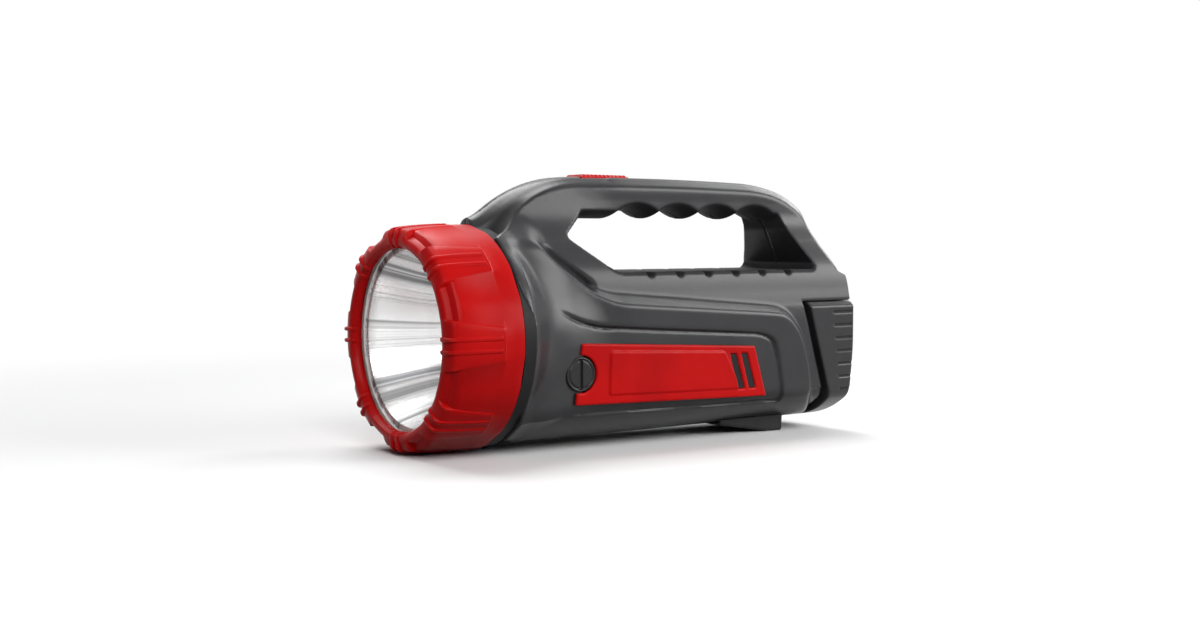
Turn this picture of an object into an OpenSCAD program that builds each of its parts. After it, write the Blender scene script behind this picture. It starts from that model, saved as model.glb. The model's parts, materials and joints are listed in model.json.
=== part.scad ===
// Hand searchlight: two moulded housing halves with a loop handle, a turning head bezel,
// a thumb slide, a lift-off battery cover with a coin lock, and a rear cap for charging.
// Millimetres. Each piece is drawn on the lamp axis, front towards -X and up +Z, with the
// bezel's rear edge at X 0, and stand() then leans the lamp onto its foot.

/* [Head] */
// diameter of the bezel at its rear edge
head_d = 95; // [88:1:104]
// length of the bezel along the lamp axis
bezel_len = 34; // [30:1:40]
// width of the bezel's front lip, from its rim to the clear window
rim_w = 9; // [8:0.5:14]
// gripping plates round the bezel
plate_count = 8; // [6:2:10]
// angle between the locked and the released bezel
bezel_turn = 45; // [30:1:60]

/* [Body] */
// from the bezel's rear edge to the back of the rear cap
body_len = 200; // [194:0.5:212]
// width of the barrel across its flat sides
barrel_w = 68; // [66:1:74]
// wall of the moulded housing
wall = 2.6; // [2.2:0.1:3]
// lean of the rear cap's front edge from upright
cap_lean = 17; // [10:0.5:20]
// depth of the sunk field round the side panels
field_depth = 1.2; // [0.8:0.1:1.3]

/* [Handle] */
// height of the handle's top above the head's rim
handle_rise = 20.5; // [18:0.5:26]
// width of the grip
grip_w = 27; // [25:0.5:32]
// height of the grip at the ridges between the fingers
grip_h = 18; // [17:0.5:20]
// depth of the hand hole's floor below the barrel's top
floor_drop = 19.5; // [17:0.5:21]
// distance from one finger groove to the next
finger_pitch = 23.2; // [21:0.1:24]
// depth of a finger groove
finger_depth = 3.4; // [2.5:0.1:4]

/* [Switch] */
// length of the thumb slide
slide_len = 26.4; // [22:0.2:30]
// travel of the thumb slide
slide_travel = 8; // [4:0.5:10]

/* [Battery] */
// diameter of a cell
cell_d = 14.5; // [13:0.1:14.8]
// length of a cell
cell_len = 50.5; // [46:0.5:52]
// diameter of the coin lock's head
lock_d = 14.6; // [13:0.2:15]

/* [Resting] */
// depth of the foot's sole below the barrel
foot_drop = 5; // [3:0.2:8]
// half width of the foot
foot_half = 16; // [12:0.5:20]

/* [Hidden] */
$fn = 96;
eps = 0.01;
fit = 0.05;
gap = 0.3;

// head stations along X and radii
head_r = head_d / 2;
window_r = head_r - rim_w;
ring_r = head_r - 1.2;
body_r = head_r - 1.5;
glass_r = window_r + 2.7;
bore_r = glass_r + 0.8;
spigot_r = bore_r - 0.5;
rib_r = head_r + 0.1;
rib_x = -10.5;
lens_t = 3;
gasket_t = 0.8;
flange_t = 1.6;
lens_x = -bezel_len + 4.6;
gasket_x = lens_x + lens_t;
flange_x = gasket_x + gasket_t;
spigot_x = flange_x + flange_t;
neck_x = 18.4;
neck_r = 7;
board_t = 1.6;
chip_t = 2.8;
sink_x = neck_x + board_t;
sink_t = 4;
bulkhead_x = sink_x + sink_t;
bulkhead_t = 3;
fin_x = bulkhead_x + 16;
ring_x = 5.5;
lug_x = -9;
lug_len = 3;
lug_deg = 14;
lug_play = 1.5;
entry_play = 1;
lip_r = spigot_r - 4.5;
lip_x = ring_x + wall + 0.1;
flange_h = 2.3;

// reflector: a parabola through the neck and the window's rim
rim_r = window_r + 0.3;
bowl_k = (rim_r * rim_r - neck_r * neck_r) / (neck_x - flange_x);
bowl_x = neck_x + neck_r * neck_r / bowl_k;
bowl_t = 1.2;
bowl_steps = 16;
function bowl_r(x) = sqrt(bowl_k * (bowl_x - x));
function bowl_at(i) = flange_x + (neck_x - flange_x) * i / bowl_steps;

// handle and body outlines
handle_top = head_r + handle_rise;
hole_floor = body_r - floor_drop;
barrel_half = barrel_w / 2;
grip_half = grip_w / 2;
grip_low = handle_top - grip_h;
crown_rise = 3.2;
crown_deg = atan(crown_rise / grip_half);
finger_r = (pow(finger_pitch / 2, 2) + finger_depth * finger_depth) / (2 * finger_depth);
finger_count = 4;
finger_x = 81.7;
notch_count = 6;
notch_x = 78;
notch_pitch = (body_len - 115) / notch_count;
nose_x = 52;
nose_r = handle_top + 4.4;
nose_z = handle_top + 0.4 - nose_r;
scoop_x = nose_x + 10.8;
scoop_z = handle_top - 66;
scoop_ring = nose_r + 3.9;
scoop_y = 14.5;
scoop_r = 8;
tail_r = body_r - 2.4;
tail_half = barrel_half - 5;
cap_top = 11;
groove_w = 1.2;
seam_x = body_len - 32;
function seam_at(z) = seam_x + (cap_top - z) * tan(cap_lean);
field_half = barrel_half - field_depth;
inner_half = barrel_half - wall;
cap_half = barrel_half - 2.5;

// side panel and its lock
panel_x = body_len - 67.7;
panel = [[36, -2.3], [panel_x, -7.6], [panel_x + 7.2, -30.9], [32.6, -28.1]];
panel_raised = [[50.3, -6.2], [panel_x - 18.2, -9.2], [panel_x - 8.2, -26.6], [49.6, -24.8]];
panel_slots = [panel_x - 14.9, panel_x - 8.3];
panel_t = 1.6;
panel_ledge = 2.5;
seal_t = 0.6;
panel_pegs = [[46, -12], [46, -20], [panel_x - 8.3, -14], [panel_x - 4.3, -22]];
lock_x = 35.4;
lock_z = -15.2;
lock_r = lock_d / 2;
lock_neck = 5.5;
wing_half = lock_r + 2.2;
wing_t = 1.5;
wing_y = inner_half - 0.5;
keeper_x = lock_x + lock_r + 0.6;
slot_lean = 9;

// battery
cell_count = 3;
cell_r = cell_d / 2;
cell_z = -17.6;
cell_x = 61.5;
cell_y = inner_half - 1.8 - cell_r;
spring_len = 3.6;
nub_len = 1;
leaf_t = 0.5;
tray_t = 1.4;
tray_x1 = cell_x - spring_len - leaf_t;
tray_x2 = cell_x + cell_len + nub_len + leaf_t;
tray_half = cell_r + 0.75;
tap_y = -cell_y + (cell_count - 1) * cell_d;
tray_back = tap_y + cell_r + 0.3;

// switch
slide_x = 55.2;
slide_half = 7;
slide_floor = handle_top - 1.4;
slide_clear = 0.5;
stem_x = 66;
stem_len = 5;
switch_z = handle_top - 9.8;
switch_top = switch_z + 3.8;
switch_x1 = 60;
switch_x2 = 86;

// boards
driver_z = 11;
driver_x1 = 62;
driver_x2 = 118;
driver_half = 17;
charge_x = body_len - 18;
charge_half = 14.5;
socket_z = -2;
flap_x = body_len + gap;
flap_t = 1.8;
flap_half = 8;
flap_axis_x = body_len + 2.3;
flap_axis_z = socket_z + 9.5;

// screws that join the halves, as [x, z]
joint_screws = [
    [30, handle_top - 16], [switch_x2 + 19, handle_top - 6], [body_len - 19, handle_top - 26],
    [body_len - 12, cap_top + 9.5], [body_len - 72, hole_floor - 8.5], [46, 9.5 - body_r],
    [body_len - 78, 9.5 - body_r]];
// screws that hold the rear cap, as [y, z]
cap_screws = [[-24, 2], [24, 2], [-20, -28], [20, -28]];
cap_screw_x = body_len - 27;

// leads: hand-laid routes of [x, y, z] from terminal to board
lead_r = 0.7;
lead_y = 2.6;
lead_z = 9.7;
charge_lead_z = 4;
wire_gap = 0.85;
led_route = [[sink_x, lead_y, lead_z], [fin_x + 4, lead_y, lead_z], [driver_x1 - 8, lead_y, 7],
    [driver_x1, lead_y, 6], [driver_x1 + 4, lead_y, 7], [driver_x1 + 5, lead_y, driver_z - 2],
    [driver_x1 + 5, lead_y, driver_z]];
switch_route = [[switch_x1, 0, switch_z + 1.6], [switch_x1 - 4, 0, switch_z + 1.6],
    [48, 0, handle_top - 10.5], [39, 0, handle_top - 16], [33.5, 0, 44], [35, 0, 33],
    [43, 0, hole_floor - 3.5], [55, 0, hole_floor - 8.5], [64, 0, hole_floor - 8.5],
    [68, 0, driver_z + board_t + 3], [68, 0, driver_z + board_t]];
battery_minus = [[tray_x1, tap_y, cell_z], [tray_x1 - 3.4, tap_y, cell_z],
    [tray_x1 - 6.4, tap_y + 1.4, -13], [tray_x1 - 5.4, tap_y + 4.4, 0], [58, tap_y + 5.4, 6],
    [63, tap_y + 5.4, 7], [64.5, tap_y + 5.4, driver_z - 2], [64.5, tap_y + 5.4, driver_z]];
battery_plus = [[tray_x2, tap_y, cell_z], [tray_x2 + 3.4, tap_y, cell_z],
    [tray_x2 + 6.5, tap_y + 1.4, -13], [tray_x2 + 5.5, tap_y + 4.4, 0], [116, tap_y + 5.4, 6],
    [115.5, tap_y + 5.4, driver_z - 2], [115.5, tap_y + 5.4, driver_z]];
charge_route = [[charge_x, 0, -1], [charge_x - 3, 0, -1], [charge_x - 8, 0, charge_lead_z],
    [charge_x - 24, 0, charge_lead_z], [140, 0, 6], [120, 0, 6.5], [113, 0, 7.5],
    [112, 0, driver_z - 2], [112, 0, driver_z]];

// foot and resting line
foot_x1 = body_len - 72;
foot_x2 = body_len - 42;
foot_x3 = body_len - 32.5;
foot_depth = body_r + foot_drop;
foot_mid = (foot_x2 + foot_x3) / 2;
rest_lean = atan((foot_depth - rib_r) / (foot_mid - rib_x));
function sole_z(x) = -foot_depth - (x - foot_mid) * tan(rest_lean);
rest_h = rib_r * cos(rest_lean) - rib_x * sin(rest_lean);
row_front = -(bezel_len + 0.6) * cos(rest_lean) - (head_r - 2.5) * sin(rest_lean);
row_back = (flap_axis_x + 1.8) * cos(rest_lean) - flap_axis_z * sin(rest_lean);
row_mid = (row_front + row_back) / 2;

body_grey = [0.27, 0.27, 0.29];
trim_red = [0.78, 0.03, 0.03];
rubber_black = [0.08, 0.08, 0.09];
steel = [0.72, 0.73, 0.75];

module stand() {
    translate([-row_mid, 0, rest_h]) rotate([0, -rest_lean, 0]) children();
}

// a round lead swept along its route with eight sides
function unit(v) = v / norm(v);
function heading(p, i) =
    i == 0 ? unit(p[1] - p[0])
    : i == len(p) - 1 ? unit(p[i] - p[i - 1])
    : unit(unit(p[i + 1] - p[i]) + unit(p[i] - p[i - 1]));
function lead_ring(p, i) =
    let (along = heading(p, i), out = unit(cross(along, [0, 1, 0])), over = cross(along, out))
    [for (k = [0:7]) p[i] + lead_r * (cos(45 * k) * out + sin(45 * k) * over)];

module lead(route) {
    last = len(route) - 1;
    points = [for (i = [0:last]) each lead_ring(route, i)];
    sides = [for (i = [0:last - 1], k = [0:7]) let (a = 8 * i + k, b = 8 * i + (k + 1) % 8)
        each [[a, a + 8, b], [b, a + 8, b + 8]]];
    start = [for (k = [1:6]) [0, k, k + 1]];
    end = [for (k = [1:6]) [8 * last, 8 * last + k + 1, 8 * last + k]];
    polyhedron(points, concat(sides, start, end), convexity = 6);
}

module lead_pair(route) {
    for (y = [-wire_gap, wire_gap]) translate([0, y, 0]) lead(route);
}

// solids along the axes
module rod_x(r, x1, x2, y = 0, z = 0) {
    translate([x1, y, z]) rotate([0, 90, 0]) cylinder(r = r, h = x2 - x1);
}

module rod_y(r, y1, y2, x, z) {
    translate([x, y1, z]) rotate([-90, 0, 0]) cylinder(r = r, h = y2 - y1);
}

module block(x1, x2, y1, y2, z1, z2) {
    translate([x1, y1, z1]) cube([x2 - x1, y2 - y1, z2 - z1]);
}

// a section of [radius, x] points turned about the lamp axis
module turned(points, sweep = 360) {
    rotate([0, 90, 0]) rotate_extrude(angle = sweep) polygon(points);
}

// a side outline in X and Z, drawn out across Y
module across(y1, y2) {
    translate([0, y2, 0]) rotate([90, 0, 0]) linear_extrude(y2 - y1) children();
}

// a section in Y and Z, drawn out along X
module along(x1, x2) {
    translate([x1, 0, 0]) rotate([90, 0, 90]) linear_extrude(x2 - x1) children();
}

module side_outline() {
    polygon([
        [0.8, -60], [0.8, handle_top], [body_len - 90, handle_top], [body_len - 43, handle_top - 1.1],
        [body_len - 30, handle_top - 5.2], [body_len - 15.5, handle_top - 14],
        [body_len - 12.6, handle_top - 25], [body_len - 7.5, cap_top + 20.7], [body_len - 1.6, cap_top + 10],
        [body_len - 0.8, cap_top + groove_w], [seam_at(cap_top + groove_w), cap_top + groove_w],
        [seam_at(-60), -60]]);
}

module width_section() {
    half = [
        [grip_half - 4.5, handle_top], [grip_half, handle_top - 4.2],
        [grip_half + 0.4, grip_low + 2], [24, hole_floor + 1.5], [26.5, 16],
        [tail_half - 0.5, 8], [tail_half - 0.5, -12]];
    mirrored = [for (i = [len(half) - 1:-1:0]) [-half[i][0], half[i][1]]];
    polygon(concat(half, mirrored));
}

// the proud lower flank, below its diagonal crease and its shoulder
module slab_outline() {
    polygon([
        [ring_x, -60], [ring_x, 60], [18.9, 39.9], [45.3, 17.5], [52.5, 14.5], [61.3, 12.5],
        [seam_x - 23.7, 6.4], [seam_x - 15, 4.2], [seam_x - 7.8, -1.2], [seam_x - 3.3, -10.4],
        [seam_x + 0.5, -22.2], [seam_x + 2, -60]]);
}

// the barrel: a tube round the lamp axis with flattened sides and a shoulder
module barrel(inset) {
    intersection() {
        rod_x(body_r - inset, ring_x + inset, body_len);
        block(0, body_len, inset - barrel_half, barrel_half - inset, -60, 60);
        across(-60, 60) offset(delta = -inset) slab_outline();
    }
}

// the flare behind the head, from the full circle down to the barrel's flats
module bell(inset) {
    flare = [[body_r, ring_x], [body_r - 2, 8.5], [body_r - 5, 12.5], [barrel_half + 4.2, 17.5],
        [barrel_half + 2, 23], [barrel_half + 0.6, 30], [barrel_half - 0.5, 36]];
    section = [for (p = flare) [p[0] - inset, max(p[1], ring_x + inset)]];
    turned(concat([[0, 36], [0, ring_x + inset]], section));
}

// the narrower upper body with the handle's two legs and grip
module spine(inset) {
    intersection() {
        across(-60, 60) offset(delta = -inset) side_outline();
        along(0, body_len) offset(delta = -inset) width_section();
        union() {
            rod_y(nose_r - inset, -60, 60, nose_x, nose_z);
            block(nose_x - 4, body_len, -60, 60, -60, handle_top + 1);
            block(0, nose_x, -60, 60, -60, nose_z);
        }
    }
}

// the barrel's lower end, sunk behind the shoulder and ahead of the rear cap
module tail(inset) {
    intersection() {
        rod_x(tail_r - inset, ring_x + inset, body_len);
        block(0, body_len, inset - tail_half, tail_half - inset, -60, cap_top);
        across(-60, 60) offset(delta = -inset) side_outline();
    }
}

// hollow on each side of the nose, between its middle ridge and the handle's flank
module nose_scoop(side, grow) {
    translate([scoop_x, side * scoop_y, scoop_z]) rotate([90, 0, 0]) rotate([0, 0, 80])
        rotate_extrude(angle = 100) translate([scoop_ring, 0]) circle(r = scoop_r + grow);
}

// underside of the grip: a row of finger grooves, rising from the middle to each side
module finger_cut(side, grow) {
    translate([0, 0, grip_low]) rotate([side * crown_deg, 0, 0])
        across(min(0, side * 40), max(0, side * 40)) intersection() {
            union() {
                for (i = [0:finger_count - 1])
                    translate([finger_x + i * finger_pitch, finger_depth - finger_r])
                        circle(r = finger_r + grow);
                translate([50, -9]) square([body_len - 79.5, 9 + grow]);
            }
            offset(delta = grow) polygon([
                [46.5, -10], [49.5, 0], [53, 4.5], [body_len - 38, 4.5],
                [body_len - 31.5, 1.5], [body_len - 29, -2], [body_len - 29, -10]]);
        }
}

module hand_hole(grow) {
    across(-60, 60) offset(delta = grow) polygon([
        [42.7, 42.2], [49, grip_low], [body_len - 29, grip_low], [body_len - 21, hole_floor + 3],
        [body_len - 22, hole_floor], [62.2, hole_floor], [57.9, hole_floor + 2]]);
    finger_cut(1, grow);
    finger_cut(-1, grow);
}

module body(inset) {
    difference() {
        union() {
            barrel(inset);
            bell(inset);
            spine(inset);
            tail(inset);
        }
        hand_hole(inset);
        nose_scoop(1, inset);
        nose_scoop(-1, inset);
    }
}

module panel_outline() {
    polygon(panel);
}

module field_outline() {
    polygon([
        [26, 8.5], [36, 5.6], [46, 3.8], [panel_x + 4.7, -2.8], [panel_x + 12.1, -6.3],
        [panel_x + 15.7, -14.7], [panel_x + 19.2, -34], [26, -32]]);
}

// inside supports that both halves share
module supports(side) {
    intersection() {
        body(0.6);
        union() {
            difference() {
                block(bulkhead_x, bulkhead_x + bulkhead_t, -60, 60, -60, 40);
                rod_x(26, bulkhead_x - 1, bulkhead_x + bulkhead_t + 1);
            }
            for (s = joint_screws) rod_y(4.6, -60, 60, s[0], s[1]);
            for (x = [driver_x1 + 4, driver_x2 - 8])
                block(x, x + 4, side > 0 ? driver_half - 3 : -60, side > 0 ? 60 : 3 - driver_half,
                    driver_z - 4, driver_z);
            for (x = [switch_x1 + 2, switch_x2 - 4]) block(x, x + 2, -60, 60, grip_low, switch_z);
            for (p = cap_screws) rod_x(5, cap_screw_x - 26, seam_at(p[1]) + 4, p[0], p[1]);
        }
    }
}

module screw_ways() {
    for (s = joint_screws) {
        rod_y(1.6, -10.5, 6.5, s[0], s[1]);
        rod_y(3.4, 6, 60, s[0], s[1]);
    }
    for (p = cap_screws) rod_x(1.6, cap_screw_x - 18, body_len, p[0], p[1]);
}

module housing(side) {
    difference() {
        intersection() {
            union() {
                difference() {
                    body(0);
                    body(wall);
                }
                supports(side);
            }
            block(-50, body_len + 50, side > 0 ? 0 : -60, side > 0 ? 60 : 0, -60, 80);
        }
        screw_ways();
        rod_x(ring_r + gap, -1, ring_x);
        rod_x(lip_r + gap, 0, lip_x + 1);
        // thumb slide pocket and the slot for its stem
        block(slide_x - slide_clear, slide_x + slide_len + slide_travel + slide_clear,
            -slide_half - slide_clear, slide_half + slide_clear, slide_floor, handle_top + 5);
        block(stem_x - slide_clear, stem_x + stem_len + slide_travel + slide_clear,
            -2.3, 2.3, slide_floor - 8, handle_top);
        // sockets for the foot's pegs
        for (x = [foot_x1 + 12, foot_x2]) translate([x, 0, -60]) cylinder(r = 2.3, h = 24);
        // sunk field of the side panel
        across(side > 0 ? field_half : -60, side > 0 ? 60 : -field_half) field_outline();
        // cross notches along the hand hole's floor
        for (i = [0:notch_count - 1])
            block(notch_x + i * notch_pitch, notch_x + i * notch_pitch + 3, side > 0 ? 19 : -60,
                side > 0 ? 60 : -19, hole_floor - 1.6, hole_floor + 1);
        if (side < 0) {
            across(-60, -inner_half + 4) offset(delta = -panel_ledge) panel_outline();
            rod_y(lock_neck + fit, -60, 6 - inner_half, lock_x, lock_z);
        }
        if (side > 0)
            for (p = panel_pegs) rod_y(1.6, inner_half - 4, 60, p[0], p[1]);
        // way for the charging leads through the rear wall
        rod_x(3, seam_x - 18, body_len, 0, charge_lead_z);
    }
}

module housing_left() {
    color(body_grey) housing(-1);
}

module housing_right() {
    color(body_grey) housing(1);
}

module bezel() {
    front = -bezel_len;
    color(trim_red) {
        turned([
            [head_r, 0], [head_r - 0.3, -8], [head_r - 1.3, -18], [head_r - 2.8, front + 7],
            [head_r - 4.6, front + 2], [head_r - 6, front + 0.6], [head_r - 6.6, front],
            [window_r + 1.6, front], [window_r + 0.6, front + 1.4], [window_r, front + 2.6],
            [window_r, lens_x - gap], [bore_r, lens_x - gap], [bore_r, 0]]);
        intersection() {
            turned([
                [bore_r + 1, -9], [head_r - 0.1, -9], [head_r - 1.1, front + 2.2],
                [head_r - 3.4, front + 0.4], [window_r + 2, front + 0.4],
                [window_r + 2, lens_x - 1], [bore_r + 1, lens_x - 1]]);
            for (i = [0:plate_count - 1]) rotate([i * 360 / plate_count, 0, 0])
                translate([0, 0, 20]) linear_extrude(60)
                    polygon([[front - 2, -10.5], [-9, -6.5], [-9, 6.5], [front - 2, 10.5]]);
        }
        for (i = [0:plate_count - 1], y = [-2.45, 2.45]) rotate([i * 360 / plate_count, 0, 0])
            across(y - 0.7, y + 0.7) polygon([
                [rib_x, head_r - 2], [rib_x, rib_r], [front + 1.4, rib_r - 0.9], [front - 0.6, rib_r - 2.6],
                [front - 0.6, window_r + 2.4], [front + 2, window_r + 2.4],
                [lens_x + 1, bore_r + 1.4]]);
        for (i = [0:2]) rotate([i * 120 + 30, 0, 0])
            turned([[bore_r - 1.8, lug_x], [bore_r + 0.6, lug_x], [bore_r + 0.6, lug_x + lug_len],
                [bore_r - 1.8, lug_x + lug_len]], lug_deg);
    }
}

module head_ring() {
    floor_r = bore_r - 2.3;
    sweep = lug_deg + bezel_turn + 2 * lug_play;
    color(rubber_black) difference() {
        turned([
            [spigot_r - 1.5, spigot_x], [spigot_r, spigot_x], [spigot_r, gap + 0.1],
            [ring_r, gap + 0.1], [ring_r, ring_x], [lip_r, ring_x], [lip_r, lip_x],
            [lip_r + flange_h, lip_x], [lip_r + flange_h, lip_x + 2], [lip_r - 3, lip_x + 2],
            [lip_r - 3, -4], [spigot_r - 4, -7], [spigot_r - 4, spigot_x + 6.5],
            [spigot_r - 1.5, spigot_x + 6]]);
        for (i = [0:2]) rotate([i * 120 + 30 - lug_play, 0, 0]) {
            turned([[floor_r, lug_x - 0.4], [bore_r, lug_x - 0.4],
                [bore_r, lug_x + lug_len + 0.4], [floor_r, lug_x + lug_len + 0.4]], sweep);
            rotate([bezel_turn + lug_play - entry_play, 0, 0])
                turned([[floor_r - 0.2, spigot_x - 1], [bore_r, spigot_x - 1],
                    [bore_r, lug_x + lug_len], [floor_r - 0.2, lug_x + lug_len]],
                    lug_deg + 2 * entry_play);
        }
    }
}

module lens() {
    color([0.85, 0.92, 0.95, 0.35]) rod_x(glass_r, lens_x, gasket_x);
}

module lens_gasket() {
    color(rubber_black)
        turned([[glass_r - 2, gasket_x], [glass_r, gasket_x], [glass_r, flange_x], [glass_r - 2, flange_x]]);
}

module reflector() {
    inside = [for (i = [0:bowl_steps]) [bowl_r(bowl_at(i)), bowl_at(i)]];
    outside = [for (i = [bowl_steps:-1:1]) [bowl_r(bowl_at(i)) + bowl_t, bowl_at(i)]];
    flange = [[bowl_r(spigot_x) + bowl_t, spigot_x], [glass_r, spigot_x], [glass_r, flange_x]];
    color([0.86, 0.87, 0.88]) turned(concat(inside, outside, flange));
}

module led_board() {
    color([0.92, 0.93, 0.94]) difference() {
        rod_x(12, neck_x, sink_x);
        for (i = [0:5]) rotate([i * 60 + 45, 0, 0]) rod_x(1.8, neck_x - 1, sink_x + 1, 0, 12.4);
    }
}

module led_emitter() {
    color([0.95, 0.85, 0.35]) {
        block(neck_x - chip_t, neck_x, -3.4, 3.4, -3.4, 3.4);
        translate([neck_x - chip_t, 0, 0]) sphere(r = chip_t - 0.1);
    }
}

module heat_sink() {
    color([0.62, 0.63, 0.65]) difference() {
        union() {
            rod_x(31, sink_x, bulkhead_x);
            rod_x(9, sink_x, fin_x);
            for (i = [0:11]) rotate([i * 30, 0, 0]) block(sink_x + 1, fin_x, -0.8, 0.8, 6, 25);
        }
        rod_x(1.8, sink_x - 1, bulkhead_x + 1, lead_y, lead_z);
    }
}

module switch_slider() {
    rib = slide_len / 12;
    color(trim_red) {
        block(slide_x, slide_x + slide_len, -slide_half, slide_half, slide_floor + 0.1, handle_top + 0.4);
        for (i = [0:10])
            rod_y(0.8, -slide_half + 0.8, slide_half - 0.8, slide_x + (i + 1) * rib, handle_top + 0.5);
        block(stem_x, stem_x + stem_len, -1.8, 1.8, handle_top - 4.4, slide_floor + 1);
        block(stem_x - 4, stem_x + stem_len + 4, -5, 5, handle_top - 4.6, handle_top - 3);
    }
}

module switch_lever() {
    color(rubber_black)
        block(stem_x + 1, stem_x + stem_len - 1, -1.5, 1.5, switch_top + 0.1, handle_top - 4.6);
}

module slide_switch() {
    color([0.35, 0.35, 0.38]) block(switch_x1, switch_x2, -4.2, 4.2, switch_z, switch_top);
}

module side_cover() {
    seat = field_half + seal_t;
    color(trim_red) difference() {
        union() {
            across(-seat - panel_t, -seat) panel_outline();
            across(-seat - panel_t - 0.6, -seat)
                polygon(panel_raised);
            across(-seat - 0.5, -inner_half - gap) difference() {
                offset(delta = -panel_ledge - gap) panel_outline();
                offset(delta = -panel_ledge - 1.9) panel_outline();
            }
            block(keeper_x, keeper_x + 7, -seat - 0.5, -wing_y + wing_t + 2, lock_z - 4, lock_z + 4);
        }
        rod_y(lock_r + 0.6, -60, -wing_y + 4, lock_x, lock_z);
        block(keeper_x - 1, keeper_x + 4, -wing_y - 0.3, -wing_y + wing_t + 0.4, lock_z - 5, lock_z + 5);
        for (x = panel_slots)
            across(-seat - panel_t - 1, -seat - panel_t + 0.9) polygon([
                [x, -10.4], [x + 3.8, -10.6], [x + slot_lean, -26.7], [x + slot_lean - 4, -26.8]]);
    }
}

module cover_seal() {
    color(rubber_black) difference() {
        across(-field_half - seal_t, -field_half) difference() {
            offset(delta = -0.6) panel_outline();
            offset(delta = -panel_ledge + 0.2) panel_outline();
        }
        rod_y(lock_r + 0.6, -60, 0, lock_x, lock_z);
    }
}

module coin_lock() {
    head = field_half + 0.1;
    color(body_grey) difference() {
        union() {
            rod_y(lock_r, -head - 1.9, -head, lock_x, lock_z);
            rod_y(lock_neck, -head - 0.5, -wing_y, lock_x, lock_z);
        }
        block(lock_x - 0.8, lock_x + 0.8, -head - 3, -head - 0.9, lock_z - lock_r + 1, lock_z + lock_r - 1);
    }
}

module lock_wing() {
    color(steel) {
        back = wing_t - wing_y;
        block(lock_x - 2.5, lock_x + 2.5, -wing_y, back, lock_z - wing_half, lock_z + 3.2);
        rod_y(2.2, back - eps, back + 1.4, lock_x, lock_z);
    }
}

module side_trim() {
    color(trim_red) {
        across(field_half, field_half + panel_t) panel_outline();
        across(field_half, field_half + panel_t + 0.6)
            polygon(panel_raised);
        for (p = panel_pegs) rod_y(1.5, field_half - 3, field_half + 0.5, p[0], p[1]);
    }
}

module battery_tray() {
    z1 = cell_z - tray_half;
    z2 = cell_z + tray_half;
    color([0.16, 0.16, 0.18]) difference() {
        block(tray_x1 - tray_t, tray_x2 + tray_t, -inner_half, tray_back + tray_t, z1 - tray_t, z2 + tray_t);
        block(tray_x1, tray_x2, -inner_half - 1, tray_back, z1, z2);
        for (x = [tray_x1 - tray_t - 1, tray_x2 - 1])
            rod_x(1.2, x, x + tray_t + 2, tap_y, cell_z);
    }
}

module battery_cells() {
    for (i = [0:cell_count - 1]) {
        y = -cell_y + i * cell_d;
        color([0.2, 0.45, 0.3]) rod_x(cell_r - 0.05, cell_x, cell_x + cell_len, y, cell_z);
        color(steel) rod_x(2.7, cell_x + cell_len - eps, cell_x + cell_len + nub_len, y, cell_z);
    }
}

module battery_contacts() {
    y1 = -cell_y - 5;
    y2 = tap_y + 5;
    coil_x = tray_x1 + leaf_t - 0.1;
    color(steel) {
        block(tray_x1, tray_x1 + leaf_t, y1, y2, cell_z - 5, cell_z + 5);
        block(tray_x2 - leaf_t, tray_x2, y1, y2, cell_z - 5, cell_z + 5);
        for (i = [0:cell_count - 1]) translate([0, -cell_y + i * cell_d, cell_z])
            turned([[3.6, coil_x], [4.4, coil_x], [3, cell_x], [2.2, cell_x]]);
    }
}

module driver_board() {
    top = driver_z + board_t;
    color([0.1, 0.4, 0.2]) block(driver_x1, driver_x2, -driver_half, driver_half, driver_z, top);
    color(rubber_black) {
        block(72, 82, -6, 4, top - eps, top + 2);
        block(88, 92, -12, -6, top - eps, top + 1.4);
        translate([98, 4, top - eps]) cylinder(r = 4, h = 5);
    }
}

module rear_cap() {
    back = body_len;
    color(body_grey) difference() {
        union() {
            difference() {
                cap_shell(0);
                cap_shell(wall);
            }
            // posts that stand on the housing's slanted rear wall
            intersection() {
                for (p = cap_screws) rod_x(5, seam_x - 5, back - 1, p[0], p[1]);
                across(-60, 60) polygon([
                    [seam_at(20) + fit, 20], [back, 20], [back, -60], [seam_at(-60) + fit, -60]]);
            }
            for (y = [-11, 11]) rod_x(2.4, charge_x + board_t, back - 1, y, socket_z - 19);
            for (side = [-1, 1], i = [0:7])
                block(seam_at(-14) + 12, back - 1.5, side * (cap_half + 0.1) - 0.7,
                    side * (cap_half + 0.1) + 0.7, 4.4 - i * 5, 6 - i * 5);
            for (y = [-flap_half - 3, flap_half + 0.6])
                block(back - 0.5, flap_axis_x + 1.6, y, y + 2.4, flap_axis_z - 1.6, flap_axis_z + 1.6);
        }
        for (p = cap_screws) {
            rod_x(1.7, cap_screw_x - 10, back + 1, p[0], p[1]);
            rod_x(3.4, cap_screw_x + 12, back + 5, p[0], p[1]);
        }
        rod_x(4.3, back - 8, back + 5, 0, socket_z);
        for (y = [-13, 13]) rod_x(1.6, back - 8, back + 5, y, socket_z - 4);
        rod_y(0.8 + fit, -60, 60, flap_axis_x, flap_axis_z);
    }
}

module cap_shell(inset) {
    z1 = -60;
    x1 = inset > 0 ? -20 : groove_w;
    back = body_len - inset;
    intersection() {
        rod_x(body_r - inset, 100, back);
        block(100, body_len + 5, -cap_half + inset, cap_half - inset, z1, cap_top - inset);
        across(-60, 60) polygon([
            [seam_at(cap_top) + x1, cap_top], [back - 1, cap_top], [back, cap_top - 3],
            [back, -12], [back - 3.5, -45], [back - 5, z1], [seam_at(z1) + x1, z1]]);
    }
}

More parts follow.
